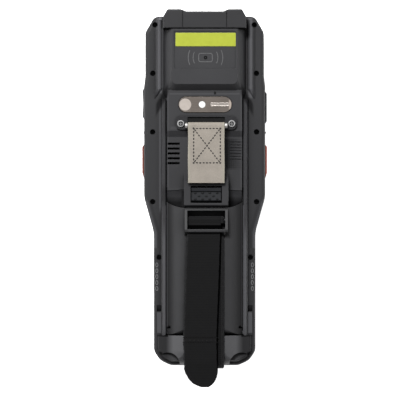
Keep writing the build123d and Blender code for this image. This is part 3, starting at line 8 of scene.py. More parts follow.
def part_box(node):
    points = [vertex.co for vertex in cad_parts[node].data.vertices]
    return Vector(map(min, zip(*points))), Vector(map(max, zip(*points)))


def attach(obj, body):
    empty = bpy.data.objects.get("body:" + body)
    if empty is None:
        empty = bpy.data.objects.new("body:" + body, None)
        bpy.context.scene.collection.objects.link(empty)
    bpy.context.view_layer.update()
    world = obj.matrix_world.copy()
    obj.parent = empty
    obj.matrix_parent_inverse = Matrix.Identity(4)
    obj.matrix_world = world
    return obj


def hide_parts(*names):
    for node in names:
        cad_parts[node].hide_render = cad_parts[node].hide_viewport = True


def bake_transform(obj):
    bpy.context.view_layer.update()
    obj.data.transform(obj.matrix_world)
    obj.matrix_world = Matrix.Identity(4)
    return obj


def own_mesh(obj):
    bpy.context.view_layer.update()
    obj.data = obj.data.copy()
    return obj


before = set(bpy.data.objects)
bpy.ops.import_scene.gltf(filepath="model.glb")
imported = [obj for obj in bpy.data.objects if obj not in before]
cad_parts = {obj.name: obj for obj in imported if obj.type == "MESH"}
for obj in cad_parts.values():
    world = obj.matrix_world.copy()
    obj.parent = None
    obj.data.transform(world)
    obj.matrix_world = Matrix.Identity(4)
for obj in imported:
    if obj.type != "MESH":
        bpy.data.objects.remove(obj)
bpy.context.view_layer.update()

MM = 0.001
STRAP_X = 0.9
SEED = 11


# ---- mesh helpers ----
def put(name, data):
    """An object in the scene that holds this data."""
    piece = bpy.data.objects.new(name, data)
    bpy.context.scene.collection.objects.link(piece)
    return piece


def make_mesh(name, corners, faces, material=None, smooth=True):
    """A mesh object from points in millimetres."""
    mesh = bpy.data.meshes.new(name)
    mesh.from_pydata([Vector(c) * MM for c in corners], [], faces)
    mesh.validate()
    mesh.update()
    if material:
        mesh.materials.append(material)
    for face in mesh.polygons:
        face.use_smooth = smooth
    return put(name, mesh)


def plain(piece, name):
    """The evaluated shape of a piece as a mesh without modifiers, in place of the piece."""
    bpy.context.view_layer.update()
    graph = bpy.context.evaluated_depsgraph_get()
    made = bpy.data.meshes.new_from_object(piece.evaluated_get(graph))
    made.transform(piece.matrix_world)
    old = piece.data
    bpy.data.objects.remove(piece)
    if old.users == 0 and isinstance(old, bpy.types.Mesh):
        bpy.data.meshes.remove(old)
    return put(name, made)


def smoothed(piece, angle=35):
    """Smooth shading except over edges sharper than the angle."""
    piece.data.shade_smooth()
    piece.data.set_sharp_from_angle(angle=math.radians(angle))
    return piece


def outward(piece):
    """Turn all faces outwards."""
    shape = bmesh.new()
    shape.from_mesh(piece.data)
    bmesh.ops.recalc_face_normals(shape, faces=shape.faces)
    shape.to_mesh(piece.data)
    shape.free()
    return piece


def skin(rings, count):
    """Faces over a row of rings of count corners each, with both ends closed."""
    faces = []
    for i in range(rings - 1):
        a, b = i * count, (i + 1) * count
        for j in range(count):
            k = (j + 1) % count
            faces.append((a + j, a + k, b + k, b + j))
    last = (rings - 1) * count
    return faces + [tuple(reversed(range(count))), tuple(range(last, last + count))]


def band_mesh(name, stations, profile):
    """A band through stations (point, across, up, half width); profile has ((share of it, offset), height)."""
    corners = []
    places = []
    travel = 0.0
    previous = None
    for point, across, up, half in stations:
        point = Vector(point)
        if previous is not None:
            travel += (point - previous).length
        previous = point
        for (share, offset), height in profile:
            side = share * half + offset
            corners.append(point + Vector(across) * side + Vector(up) * height)
            places.append((side * MM, travel * MM))
    piece = make_mesh(name, corners, skin(len(stations), len(profile)))
    layer = piece.data.uv_layers.new(name="along")
    for loop in piece.data.loops:
        layer.data[loop.index].uv = places[loop.vertex_index]
    return piece


def side_route(points, radii, step):
    """The (y, z) pairs along a route seen from the side, with its corners rounded."""
    points = [Vector((y, z, 0)) for y, z in points]
    line = [points[0]]
    for i, here in enumerate(points[1:-1]):
        back, ahead = points[i] - here, points[i + 2] - here
        a, b = back.normalized(), ahead.normalized()
        half = a.angle(b) / 2
        reach = min(radii[i] / math.tan(half), back.length * 0.49, ahead.length * 0.49)
        radius = reach * math.tan(half)
        centre = here + (a + b).normalized() * (radius / math.sin(half))
        start, end = here + a * reach - centre, here + b * reach - centre
        turn = start.angle(end)
        normal = start.cross(end).normalized()
        parts = max(2, int(radius * turn / (step * 0.5)))
        for k in range(parts + 1):
            line.append(centre + Matrix.Rotation(turn * k / parts, 3, normal) @ start)
    line.append(points[-1])
    filled = [line[0]]
    for a, b in zip(line, line[1:]):
        length = (b - a).length
        if length > 1e-6:
            parts = max(1, round(length / step))
            filled += [a.lerp(b, k / parts) for k in range(1, parts + 1)]
    return [(p.x, p.y) for p in filled]


# ---- material helpers ----
def add_node(tree, kind, feeds=None, **settings):
    """A node with its settings; each input is linked to an output or set to a value."""
    node = tree.nodes.new(kind)
    for key, value in settings.items():
        setattr(node, key, value)
    for key, value in (feeds or {}).items():
        if isinstance(value, bpy.types.NodeSocket):
            tree.links.new(value, node.inputs[key])
        else:
            node.inputs[key].default_value = value
    return node


class Finish:
    """A material being built from nodes."""

    def __init__(self, name):
        self.material = bpy.data.materials.new(name)
        self.material.use_nodes = True
        self.tree = self.material.node_tree
        self.tree.nodes.clear()
        self.object_place = self.add("ShaderNodeTexCoord").outputs["Object"]

    def add(self, kind, feeds=None, **settings):
        return add_node(self.tree, kind, feeds, **settings)

    def noise(self, size_mm, detail, rough, place=None, warp=0.0):
        """Noise whose blobs are about size_mm across."""
        feeds = {"Vector": place or self.object_place, "Scale": 1 / (size_mm * MM), "Detail": detail,
                 "Roughness": rough, "Distortion": warp}
        return self.add("ShaderNodeTexNoise", feeds).outputs["Fac"]

    def scaled(self, by):
        """The object's coordinates stretched by a factor per axis."""
        return self.add("ShaderNodeMapping", {"Vector": self.object_place, "Scale": by}).outputs[0]

    def ranged(self, value, a, b, c=0.0, d=1.0):
        """A value that goes from c to d where the given one goes from a to b."""
        feeds = {"Value": value, "From Min": a, "From Max": b, "To Min": c, "To Max": d}
        return self.add("ShaderNodeMapRange", feeds).outputs[0]

    def fade(self, value, a, b, c=0.0, d=1.0):
        """The same over a coordinate, with a and b in millimetres."""
        return self.ranged(value, a * MM, b * MM, c, d)

    def between(self, value, a, b, soft=0.15):
        """A mask that is 1 from a to b millimetres, with soft ends."""
        return self.product(self.fade(value, a - soft, a + soft), self.fade(value, b + soft, b - soft))

    def maths(self, operation, a, b=0.0):
        return self.add("ShaderNodeMath", {0: a, 1: b}, operation=operation).outputs[0]

    def product(self, first, *rest):
        for value in rest:
            first = self.maths("MULTIPLY", first, value)
        return first

    def past(self, value, place):
        """How far a coordinate lies past a place given in millimetres."""
        return self.maths("SUBTRACT", value, place * MM)

    def off(self, value, middle=0.0):
        """How far a coordinate lies from a middle in millimetres, on either side."""
        return self.maths("ABSOLUTE", self.past(value, middle) if middle else value)

    def length(self, a, b):
        """How long the step (a, b) is."""
        return self.maths("SQRT", self.maths("ADD", self.product(a, a), self.product(b, b)))

    def waves(self, value, pitch_mm):
        """A sine along a coordinate."""
        return self.maths("SINE", self.product(value, 2 * math.pi / (pitch_mm * MM)))

    def mix(self, share, a, b):
        """A colour between a and b."""
        a, b = [c if isinstance(c, bpy.types.NodeSocket) else (*c, 1.0) for c in (a, b)]
        return self.add("ShaderNodeMix", {0: share, 6: a, 7: b}, data_type="RGBA").outputs[2]

    def bump(self, height, depth_mm, strength, under=None):
        """The normal of a surface with this relief."""
        feeds = {"Height": height, "Distance": depth_mm * MM, "Strength": strength}
        if under is not None:
            feeds["Normal"] = under
        return self.add("ShaderNodeBump", feeds).outputs[0]

    def soft_edge(self, radius_mm):
        """The normal with edges rounded, and a mask that is 1 along them."""
        bevel = self.add("ShaderNodeBevel", {"Radius": radius_mm * MM}, samples=4).outputs[0]
        face = self.add("ShaderNodeNewGeometry").outputs["Normal"]
        dot = self.add("ShaderNodeVectorMath", {0: bevel, 1: face}, operation="DOT_PRODUCT").outputs["Value"]
        return bevel, self.ranged(dot, 0.995, 0.86)

    def crevice(self, reach_mm):
        """A mask that is 1 deep in corners and 0 in the open."""
        node = self.add("ShaderNodeAmbientOcclusion", {"Distance": reach_mm * MM}, samples=6)
        return self.ranged(node.outputs["AO"], 0.9, 0.35)

    def axes(self, place=None):
        """The x, y and z of a place, or the object's own."""
        split = self.add("ShaderNodeSeparateXYZ", {"Vector": place or self.object_place})
        return split.outputs["X"], split.outputs["Y"], split.outputs["Z"]

    def end(self, colour, roughness, normal, **sockets):
        """The finished material."""
        feeds = {"Base Color": colour, "Roughness": roughness, "Normal": normal}
        feeds.update({key.replace("_", " "): value for key, value in sockets.items()})
        surface = self.add("ShaderNodeBsdfPrincipled", feeds)
        self.add("ShaderNodeOutputMaterial", {"Surface": surface.outputs[0]})
        return self.material


def shade(colour, by):
    return tuple(c * by for c in colour)


def no_zones(f):
    """A finish that is the same all over."""
    return []


def moulded(name, colour, rough, edge_wear_and_glint=0.5, shine=0.22, zones=no_zones):
    """Moulded plastic: eroded tool texture, faint cloudiness, worn edges with a painted highlight, light scuffs
    and painted shade in corners.
    """
    f = Finish(name)
    rounded, edges = f.soft_edge(0.25)
    cloud = f.noise(22, 3, 0.6)
    grain = f.noise(0.35, 2, 0.7)
    tone = f.mix(f.ranged(cloud, 0.3, 0.7), shade(colour, 0.9), shade(colour, 1.1))
    tone = f.mix(f.ranged(grain, 0.35, 0.75, 0, 0.35), tone, shade(colour, 1.5))
    # the edges are lightened: partly worn, partly a painted highlight
    rubbed = f.product(edges, f.ranged(f.noise(5, 3, 0.6), 0.35, 0.65, edge_wear_and_glint * 0.4, edge_wear_and_glint))
    tone = f.mix(rubbed, tone, shade(colour, 3.2))
    streak = f.noise(1.2, 3, 0.6, place=f.scaled((1.0, 0.18, 1.0)), warp=0.6)
    tone = f.mix(f.ranged(streak, 0.66, 0.78, 0, 0.15), tone, shade(colour, 2.0))
    # painted shade in corners and creases, from an occlusion mask; it also dims the shine
    corner_shade = f.product(f.crevice(5), 0.8)
    # each zone scales the colour; darker ones also dim the shine, and lighter ones lift the painted shade of the
    # corners
    for mask, by in zones(f):
        tone = f.mix(mask, tone, shade(colour, by))
        if by < 0.5:
            shine = f.product(shine, f.ranged(mask, 0, 1, 1, by))
        elif by > 1:
            corner_shade = f.product(corner_shade, f.ranged(mask, 0, 1, 1, 0.25))
    tone = f.mix(corner_shade, tone, shade(colour, 0.12))
    level = f.maths("SUBTRACT", f.ranged(cloud, 0.3, 0.7, rough - 0.05, rough + 0.06), f.product(rubbed, 0.15))
    return f.end(tone, level, f.bump(grain, 0.02, 0.8, rounded),
                 Specular_IOR_Level=f.product(shine, f.ranged(corner_shade, 0, 1, 1, 0.3)))


def rubber(name, colour, rough=0.75, dots=None):
    """Dull rubber with fine dust in its pores; dots gives a moulded dimple field (pitch, depth) in mm."""
    f = Finish(name)
    rounded, edges = f.soft_edge(0.25)
    pores = f.noise(0.3, 2, 0.7)
    dust = f.noise(9, 4, 0.65)
    tone = f.mix(f.ranged(dust, 0.35, 0.7), shade(colour, 0.85), shade(colour, 1.25))
    tone = f.mix(f.ranged(pores, 0.5, 0.8, 0, 0.3), tone, shade(colour, 1.8))
    tone = f.mix(f.product(edges, 0.25), tone, shade(colour, 2.2))
    normal = f.bump(pores, 0.02, 0.7, rounded)
    if dots:
        pitch, deep = dots
        feeds = {"Vector": f.object_place, "Scale": 1 / (pitch * MM), "Randomness": 0.0}
        pit = f.ranged(f.add("ShaderNodeTexVoronoi", feeds).outputs["Distance"], 0.22, 0.34)
        # painted shade in the dimples
        tone = f.mix(f.ranged(pit, 0, 1, 0.55, 0.0), tone, shade(colour, 0.45))
        normal = f.bump(pit, deep, 1.0, normal)
    return f.end(tone, f.ranged(dust, 0.3, 0.7, rough - 0.06, rough + 0.1), normal, Specular_IOR_Level=0.35)


def metal(name, colour, rough, metallic=1.0, zones=no_zones):
    """Metal with drawn brush lines, dull patches and bright edges; a zone may give a colour of its own."""
    f = Finish(name)
    rounded, edges = f.soft_edge(0.2)
    lines = f.noise(1.4, 2, 0.7, place=f.scaled((1, 14, 14)))
    patch = f.noise(6, 4, 0.6)
    tone = f.mix(f.ranged(patch, 0.35, 0.7, 0, 0.25), colour, shade(colour, 0.5))
    tone = f.mix(f.ranged(lines, 0.35, 0.7, 0, 0.3), tone, shade(colour, 1.25))
    tone = f.mix(f.product(edges, 0.5), tone, shade(colour, 1.7))
    for mask, by in zones(f):
        tone = f.mix(mask, tone, by if isinstance(by, tuple) else shade(colour, by))
    level = f.maths("ADD", f.ranged(patch, 0.3, 0.7, rough - 0.05, rough + 0.1),
                    f.ranged(lines, 0.3, 0.7, -0.05, 0.05))
    return f.end(tone, level, f.bump(lines, 0.006, 0.6, rounded), Metallic=metallic)


def clear_window(name, colour, rough=0.06, zones=no_zones):
    """A glossy window: deep colour with faint smears on the surface."""
    f = Finish(name)
    rounded, edges = f.soft_edge(0.15)
    smears = f.noise(7, 4, 0.7, warp=1.2)
    specks = f.noise(0.7, 2, 0.6)
    tone = f.mix(f.ranged(smears, 0.45, 0.75, 0, 0.2), colour, shade(colour, 1.8))
    tone = f.mix(f.ranged(specks, 0.72, 0.8, 0, 0.3), tone, (0.3, 0.3, 0.3))
    # a painted highlight along the edges
    tone = f.mix(f.product(edges, 0.4), tone, shade(colour, 2.5))
    for mask, by in zones(f):
        tone = f.mix(mask, tone, shade(colour, by))
    return f.end(tone, f.ranged(smears, 0.4, 0.8, rough, rough + 0.08), rounded,
                 IOR=1.45, Coat_Weight=0.3, Coat_Roughness=0.05)


def webbing_finish(name, colour, rib_mm=1.15, pile=0.0, selvage=None, shaded=None):
    """Black webbing: cross ribs of weft, lengthways warp threads, stray fibres and a paler rubbed selvage; where
    shaded is given, a painted shadow over that stretch of the run and along the right edge.
    """
    f = Finish(name)
    along = f.add("ShaderNodeUVMap", uv_map="along").outputs[0]
    side, run, _ = f.axes(along)
    wobble = f.product(f.noise(3.0, 2, 0.5, place=along), 1.6)
    ribs = f.maths("ADD", f.product(run, 2 * math.pi / (rib_mm * MM)), wobble)
    rib = f.ranged(f.maths("SINE", ribs), -1, 1)
    warp = f.ranged(f.waves(side, 0.62), -1, 1)
    weave = f.product(f.maths("POWER", rib, 0.7), f.ranged(warp, 0, 1, 0.55, 1.0))
    fuzz = f.noise(0.28, 3, 0.75, place=along)
    cloud = f.noise(12, 3, 0.6, place=along)
    tone = f.mix(f.ranged(weave, 0.1, 0.9), shade(colour, 0.6), shade(colour, 1.35))
    tone = f.mix(f.ranged(fuzz, 0.5, 0.8, 0, 0.35 + pile), tone, shade(colour, 2.1))
    tone = f.mix(f.ranged(cloud, 0.35, 0.7, 0, 0.3), tone, shade(colour, 1.5))
    tone = f.mix(f.fade(f.off(side), 8.3, 9.2, 0, 0.35), tone, shade(colour, 2.4))
    if selvage:
        tone = f.mix(f.between(side, 8.6, 8.9, 0.12), tone, selvage)
    gloss, sheen = 0.12, 0.1
    # a painted shadow over the given stretch and along the right edge, with the gloss and sheen dulled there
    if shaded:
        dim = f.maths("MAXIMUM", f.between(run, *shaded, 0.3), f.fade(side, 8.6, 8.9))
        tone = f.mix(dim, tone, shade(colour, 0.1))
        gloss = f.ranged(dim, 0, 1, 0.12, 0.01)
        sheen = f.ranged(dim, 0, 1, 0.1, 0.0)
    normal = f.bump(fuzz, 0.05, 0.8, f.bump(weave, 0.09 * (1 - pile), 0.75))
    return f.end(tone, f.ranged(fuzz, 0.3, 0.8, 0.78, 0.95), normal, Specular_IOR_Level=gloss,
                 Sheen_Weight=sheen, Sheen_Roughness=0.5, Sheen_Tint=(0.5, 0.5, 0.55, 1.0))


def leather_finish(name, colour):
    """Warm grey leather: pebbled grain, soft creases and a lighter, rubbed border."""
    f = Finish(name)
    feeds = {"Vector": f.object_place, "Scale": 1 / (0.55 * MM)}
    cells = f.add("ShaderNodeTexVoronoi", feeds, feature="DISTANCE_TO_EDGE")
    pebble = f.ranged(cells.outputs["Distance"], 0.0, 0.22)
    fine = f.noise(0.35, 3, 0.7)
    crease = f.noise(5, 4, 0.7, warp=1.0)
    tone = f.mix(f.ranged(f.noise(8, 3, 0.6), 0.3, 0.7), shade(colour, 0.88), shade(colour, 1.1))
    tone = f.mix(f.ranged(pebble, 0, 1, 0.35, 0.0), tone, shade(colour, 0.6))
    tone = f.mix(f.ranged(fine, 0.45, 0.75, 0, 0.35), tone, shade(colour, 1.28))
    tone = f.mix(f.ranged(crease, 0.60, 0.68, 0, 0.22), tone, shade(colour, 0.7))
    border = f.fade(f.off(f.axes()[0], STRAP_X), 8.6, 9.8, 0, 0.45)
    tone = f.mix(border, tone, (colour[0] * 1.12, colour[1] * 1.2, colour[2] * 1.12))
    normal = f.bump(crease, 0.12, 0.5, f.bump(fine, 0.03, 0.7, f.bump(pebble, 0.05, 0.7)))
    return f.end(tone, f.ranged(fine, 0.3, 0.8, 0.62, 0.8), normal, Specular_IOR_Level=0.3)


def thread_finish(name, colour, gloss=0.5):
    """Twisted sewing thread."""
    f = Finish(name)
    twist = f.noise(0.25, 2, 0.6)
    tone = f.mix(f.ranged(twist, 0.3, 0.7), shade(colour, 0.7), shade(colour, 1.25))
    return f.end(tone, 0.75, f.bump(twist, 0.05, 0.8), Specular_IOR_Level=gloss)


def printed_film(name, colour, rubbed=(0.8, 0.82, 0.4), zones=no_zones):
    """A bare film label: even ink, faint mottling, rubbed and slightly lifted edges; zones don't shine."""
    f = Finish(name)
    rounded, edges = f.soft_edge(0.2)
    mottle = f.noise(2.5, 3, 0.6)
    ripple = f.noise(10, 2, 0.5)
    tone = f.mix(f.ranged(mottle, 0.3, 0.7), shade(colour, 0.94), shade(colour, 1.05))
    tone = f.mix(f.product(edges, 0.4), tone, rubbed)
    shine = 0.5
    for mask, by in zones(f):
        tone = f.mix(mask, tone, shade(colour, by))
        shine = f.product(shine, f.ranged(mask, 0, 1, 1, 0.08))
    return f.end(tone, f.ranged(mottle, 0.3, 0.7, 0.42, 0.52), f.bump(ripple, 0.08, 0.5, rounded),
                 Specular_IOR_Level=shine)


# ---- zones: a mask each and how light or dark it is; later ones cover earlier ones ----
DECK_Y = 52.2  # the middle of the camera plate, its lens and its light
PLATE_X, PLATE_REACH = 0.3, 10.4
SCREW_OUT, SCREW_Y = 14.2, 41.5
GRILLE_PITCH = 1.05


def worn_housing(f):
    """Painted shade and painted highlights over the housing's gullies, slots, edges and crests, with the grille's
    fine mesh painted on.
    """
    x, y, z = f.axes()
    out = f.off(x)
    waist = f.between(y, -36, -1, 2.0)
    outline = f.maths("MAXIMUM", f.maths("ADD", f.product(y, 0.28), 33.7 * MM), 28.4 * MM)
    inset = f.maths("SUBTRACT", outline, out)
    dish = f.between(out, 12.9, 21.0)
    ramp = f.maths("ADD", f.product(f.past(out, 20.6), 1.68), f.past(y, 62))
    grille = f.product(f.between(x, 11.8, 21.2, 0.5), f.between(y, 16.4, 33.4, 0.9), f.between(z, 24.6, 25.6))
    holes = f.ranged(f.maths("MAXIMUM", f.waves(x, GRILLE_PITCH), f.waves(y, GRILLE_PITCH)), 0.3, 0.95)
    return [
        # painted shade on all that lies low, then a painted shaded line and a painted highlight on the rim along
        # the waist
        (f.fade(z, 24.0, 22.6), 0.86),
        (f.product(waist, f.between(inset, 2.1, 3.4, 0.5)), 0.6),
        (f.product(waist, f.between(inset, 0.3, 1.5, 0.2), f.fade(z, 19.5, 21)), 1.75),
        # the dish beside the latch: a painted highlight above, painted shade below
        (f.product(dish, f.between(y, 0.4, 4.9, 0.8)), 1.35),
        (f.product(dish, f.between(y, -4.8, -1.6, 0.8)), 0.49),
        # a painted highlight on the lip under the deck, and painted light in the left gully, in the grooves beside
        # the deck and in the gaps beside the cover
        (f.product(f.between(x, -19, -12, 0.5), f.between(y, 38.3, 40.0), f.between(z, 26.3, 26.9)), 1.45),
        (f.product(f.between(x, -24.9, -22.9), f.between(y, 62, 95), 0.8), 1.35),
        (f.product(f.between(out, 20.0, 21.9), f.between(y, 6, 59)), 1.4),
        (f.product(f.between(out, 21.0, 22.0), f.between(y, -76, -4)), 3.2),
        # the crests beside the plateau: a painted highlight on the right one, then painted shade on the margin and
        # painted highlights on the ridge and flank of the left one
        (f.product(f.between(x, 24.4, 26.8, 0.5), f.between(y, 56.0, 101.0, 0.8)), 2.4),
        (f.product(f.fade(x, -32.0, -28.6), f.fade(x, -26.9, -27.6), f.between(y, 58, 102, 3.0)), 0.66),
        (f.product(f.between(x, -26.8, -25.6, 0.4), f.between(y, 57.5, 101.0, 0.8)), 1.7),
        (f.product(f.between(x, -25.7, -24.15, 0.25), f.between(y, 59.0, 101.0, 0.8)), 4.3),
        # a painted highlight on the left shoulder of the deck, and a darker spot at its foot
        (f.product(f.between(x, -25.5, -24.2, 0.3), f.between(y, -7, 51, 2.0)), 1.9),
        (f.product(f.between(x, -23.9, -21.8, 0.3), f.between(y, -3, 7, 2.5)), 0.55),
        # painted shade in the pockets where the gullies run out and in the speaker's slots, the tab's painted
        # shadow on the grille, and the grille's fine mesh
        (f.product(f.between(ramp, -4.8, 2.0, 1.2), f.between(out, 20.4, 27.2, 0.6), 0.85), 0.25),
        (f.product(f.between(x, -20.8, -13.7), f.between(y, 18.5, 31.2), f.fade(z, 24.6, 24.2)), 0.05),
        (f.product(grille, f.fade(x, 19.0, 12.8), 0.8), 0.3),
        (f.product(grille, holes, f.fade(x, 21, 15, 0.3, 0.7)), 0.35),
        # painted highlights on the deck's upper edge, on the cover's rails and on the pads at the heel
        (f.product(f.between(y, 57.8, 58.6), f.between(out, -1, 19.5), f.between(z, 26.3, 26.9), 0.7), 1.9),
        (f.product(f.between(out, 22.1, 23.2), f.between(y, -75, -18, 5.0), f.fade(z, 24.7, 25.0), 0.85), 2.7),
        (f.product(f.between(out, 24.3, 26.6), f.between(y, -75.4, -63.8), f.fade(z, 22.5, 22.8)), 2.2),
    ]


def black_chip(f):
    """The chip in the middle of the printed sign is solid black."""
    x, y, _ = f.axes()
    return [(f.product(f.between(x, -0.8, 1.8), f.between(y, 76.9, 79.5)), 0.1)]


def cap_seam(f):
    """Painted shade in the seam under the cap's lower edge."""
    _, y, z = f.axes()
    return [(f.product(f.fade(y, 94.8, 94.5), f.fade(z, 27, 28)), 0.1)]


def shaded_cover(f):
    """Painted shade down the cover's flanks, painted highlights on its outer edges and left shoulder; its strap
    loop is a little darker.
    """
    x, y, z = f.axes()
    body = f.fade(z, 29.0, 28.6)
    flanks = f.maths("ADD", f.fade(x, -17.0, -19.2), f.fade(x, 14.5, 18.4))
    loop = f.maths("MAXIMUM", f.fade(y, -13.5, -11.5), f.fade(f.off(x, STRAP_X), 10.1, 10.7))
    return [(f.product(flanks, body), 0.66),
            (f.fade(f.off(x), 20.4, 20.8), 1.7),
            (f.product(f.between(x, -16.6, -13.4, 1.0), f.between(y, -76, -20, 6.0), body), 1.25),
            (f.product(f.fade(z, 29.0, 29.8), loop), 0.72)]


def faded_side(f):
    """The orange of the left button is darker, and that of the right one lighter."""
    x, _, _ = f.axes()
    return [(f.fade(x, -30, -31), 0.6), (f.fade(x, 30, 31), 1.3)]


def dark_rim(middle, inner, outer):
    """For a round piece in the camera plate: its edge is dark from the inner to the outer radius."""
    def zones(f):
        x, y, _ = f.axes()
        return [(f.fade(f.length(f.past(x, middle), f.past(y, DECK_Y)), inner, outer), 0.4)]
    return zones


def domed_heel(f):
    """The heel has a painted highlight on its crown, painted shade towards its corners, on its low faces and in
    the seam above it, and a dark spot painted at each lower corner.
    """
    x, y, z = f.axes()
    out = f.off(x)
    return [(f.product(f.between(x, -21, -11, 1.5), f.between(y, -86, -76, 1.2)), 1.35),
            (f.product(f.fade(out, 17.5, 21.5), 0.9), 0.25),
            (f.product(f.fade(y, -77.5, -77.2), f.between(out, 20.5, 26.8)), 0.06),
            (f.product(f.fade(z, 25.5, 24.0), 0.5), 0.45),
            (f.product(f.between(out, 23.7, 25.7, 0.4), f.between(y, -87.9, -86.0, 0.4)), 0.08)]


def contact_gilding(f):
    """Only the blades are gilt; the block that holds them is black."""
    _, y, _ = f.axes()
    return [(f.fade(y, -7.6, -7.4), (0.008, 0.008, 0.009))]


def rubbed_lugs(f):
    """The lugs of the bracket have a painted highlight on top, by the bar."""
    _, y, z = f.axes()
    return [(f.product(f.fade(z, 29.0, 29.6), f.between(y, 39.0, 41.8)), (0.36, 0.35, 0.34))]


def screw_rims(f):
    """The bracket screws are black with a painted highlight on the turned rim and a greyer cross."""
    x, y, _ = f.axes()
    away = f.past(f.off(x, STRAP_X), SCREW_OUT)
    up = f.past(y, SCREW_Y)
    reach = f.length(away, up)
    cross = f.maths("MINIMUM", f.off(away), f.off(up))
    return [(f.between(reach, 1.35, 2.1, 0.12), (0.36, 0.36, 0.36)),
            (f.product(f.between(cross, -1, 0.22, 0.06), f.between(reach, -1, 1.15)), (0.22, 0.22, 0.22))]


def brushed_plate(f):
    """The plate round the camera: fine turned lines, a painted highlight at its right end and a dark outline."""
    x, y, _ = f.axes()
    past = f.maths("MAXIMUM", f.past(f.off(x, PLATE_X), PLATE_REACH), 0.0)
    reach = f.length(past, f.past(y, DECK_Y))
    return [(f.product(f.ranged(f.waves(y, 0.9), 0.2, 0.9), 0.4), 0.55),
            (f.product(f.between(x, 13.6, 15.1, 0.3), f.between(y, 49.4, 55.0, 0.6), 0.8), 3.0),
            (f.fade(reach, 4.15, 4.4), 0.35)]


finishes = {
    "housing_plastic": moulded("housing_charcoal", (0.025, 0.025, 0.027), 0.55, zones=worn_housing),
    "cap_plastic": moulded("cap_charcoal", (0.0165, 0.0165, 0.018), 0.5, zones=cap_seam),
    "heel_plastic": moulded("heel_charcoal", (0.060, 0.060, 0.063), 0.42, zones=domed_heel),
    "cover_plastic": moulded("cover_charcoal", (0.027, 0.027, 0.0285), 0.46, zones=shaded_cover),
    "latch_plastic": moulded("latch_slate", (0.0115, 0.0125, 0.0145), 0.42),
    "black_plastic": moulded("inner_black", (0.006, 0.006, 0.0065), 0.5, edge_wear_and_glint=0.2),
    "scan_orange": moulded("scan_orange", (0.23, 0.056, 0.036), 0.42, edge_wear_and_glint=0.2, zones=faded_side),
    "black_steel": metal("blackened_steel", (0.02, 0.02, 0.022), 0.42, metallic=0.6),
    "bracket_steel": metal("bracket_steel", (0.02, 0.02, 0.022), 0.42, metallic=0.6, zones=rubbed_lugs),
    "screw_steel": metal("screw_steel", (0.012, 0.012, 0.013), 0.4, metallic=0.5, zones=screw_rims),
    "dulled_steel": metal("dulled_steel", (0.06, 0.06, 0.062), 0.4, metallic=0.7),
    "bright_steel": metal("drawn_steel", (0.55, 0.55, 0.55), 0.3),
    "display_tray": metal("stamped_tray", (0.5, 0.5, 0.5), 0.4),
    "contact_brass": metal("gilt_contact", (0.85, 0.62, 0.28), 0.25, zones=contact_gilding),
    "camera_metal": metal("camera_surround", (0.15, 0.128, 0.112), 0.36, metallic=0.55, zones=brushed_plate),
    "lens_glass": clear_window("camera_glass", (0.36, 0.32, 0.29), 0.12, zones=dark_rim(-10.8, 3.2, 3.45)),
    "diffuser_white": clear_window("milky_diffuser", (0.92, 0.92, 0.90), 0.3, zones=dark_rim(-1.4, 1.5, 1.75)),
    "window_red": clear_window("scan_window_red", (0.055, 0.003, 0.003)),
    "display_glass": clear_window("display_black", (0.008, 0.008, 0.010)),
    "label_yellow": printed_film("label_film", (0.295, 0.335, 0.009)),
    "board_green": printed_film("solder_mask", (0.015, 0.11, 0.045)),
    "battery_wrap": printed_film("battery_wrap", (0.03, 0.03, 0.035)),
    "seal_rubber": rubber("seal_rubber", (0.016, 0.016, 0.017)),
    "key_rubber": rubber("key_rubber", (0.016, 0.016, 0.018), 0.6),
    "grip_rubber": rubber("grip_rubber", (0.015, 0.015, 0.016), 0.8, dots=(1.5, 0.25)),
}
webbing = webbing_finish("strap_webbing", (0.0042, 0.0042, 0.0044), selvage=(0.013, 0.013, 0.013))
# the loop's webbing gets a painted shadow under the frame's bar and along its right edge
pile_webbing = webbing_finish("strap_loop_pile", (0.0045, 0.0045, 0.0047), rib_mm=0.9, pile=0.5, shaded=(1.2, 4.0))
leather = leather_finish("tab_leather", (0.25, 0.224, 0.193))
tab_thread = thread_finish("dark_thread", (0.018, 0.0155, 0.0135))
seam_thread = thread_finish("seam_thread", (0.0015, 0.0015, 0.0015), 0.1)
seam_pale = thread_finish("seam_pale", (0.012, 0.012, 0.012), 0.2)
dot_plastic = moulded("latch_dots", (0.0055, 0.006, 0.0065), 0.5, shine=0.14)
bare_strip = metal("bare_strip", (0.49, 0.445, 0.41), 0.34)
# a black that stands in for shade, in the recess under the bar and in the microphone hole
shade_black = rubber("painted_shade_black", (0.004, 0.004, 0.004), 0.95)
ink = printed_film("icon_ink", (0.065, 0.065, 0.068), (0.26, 0.26, 0.26), zones=black_chip)
pale_ink = printed_film("pale_ink", (0.13, 0.13, 0.135), (0.2, 0.2, 0.205))
legend_ink = printed_film("legend_ink", (0.75, 0.75, 0.75))


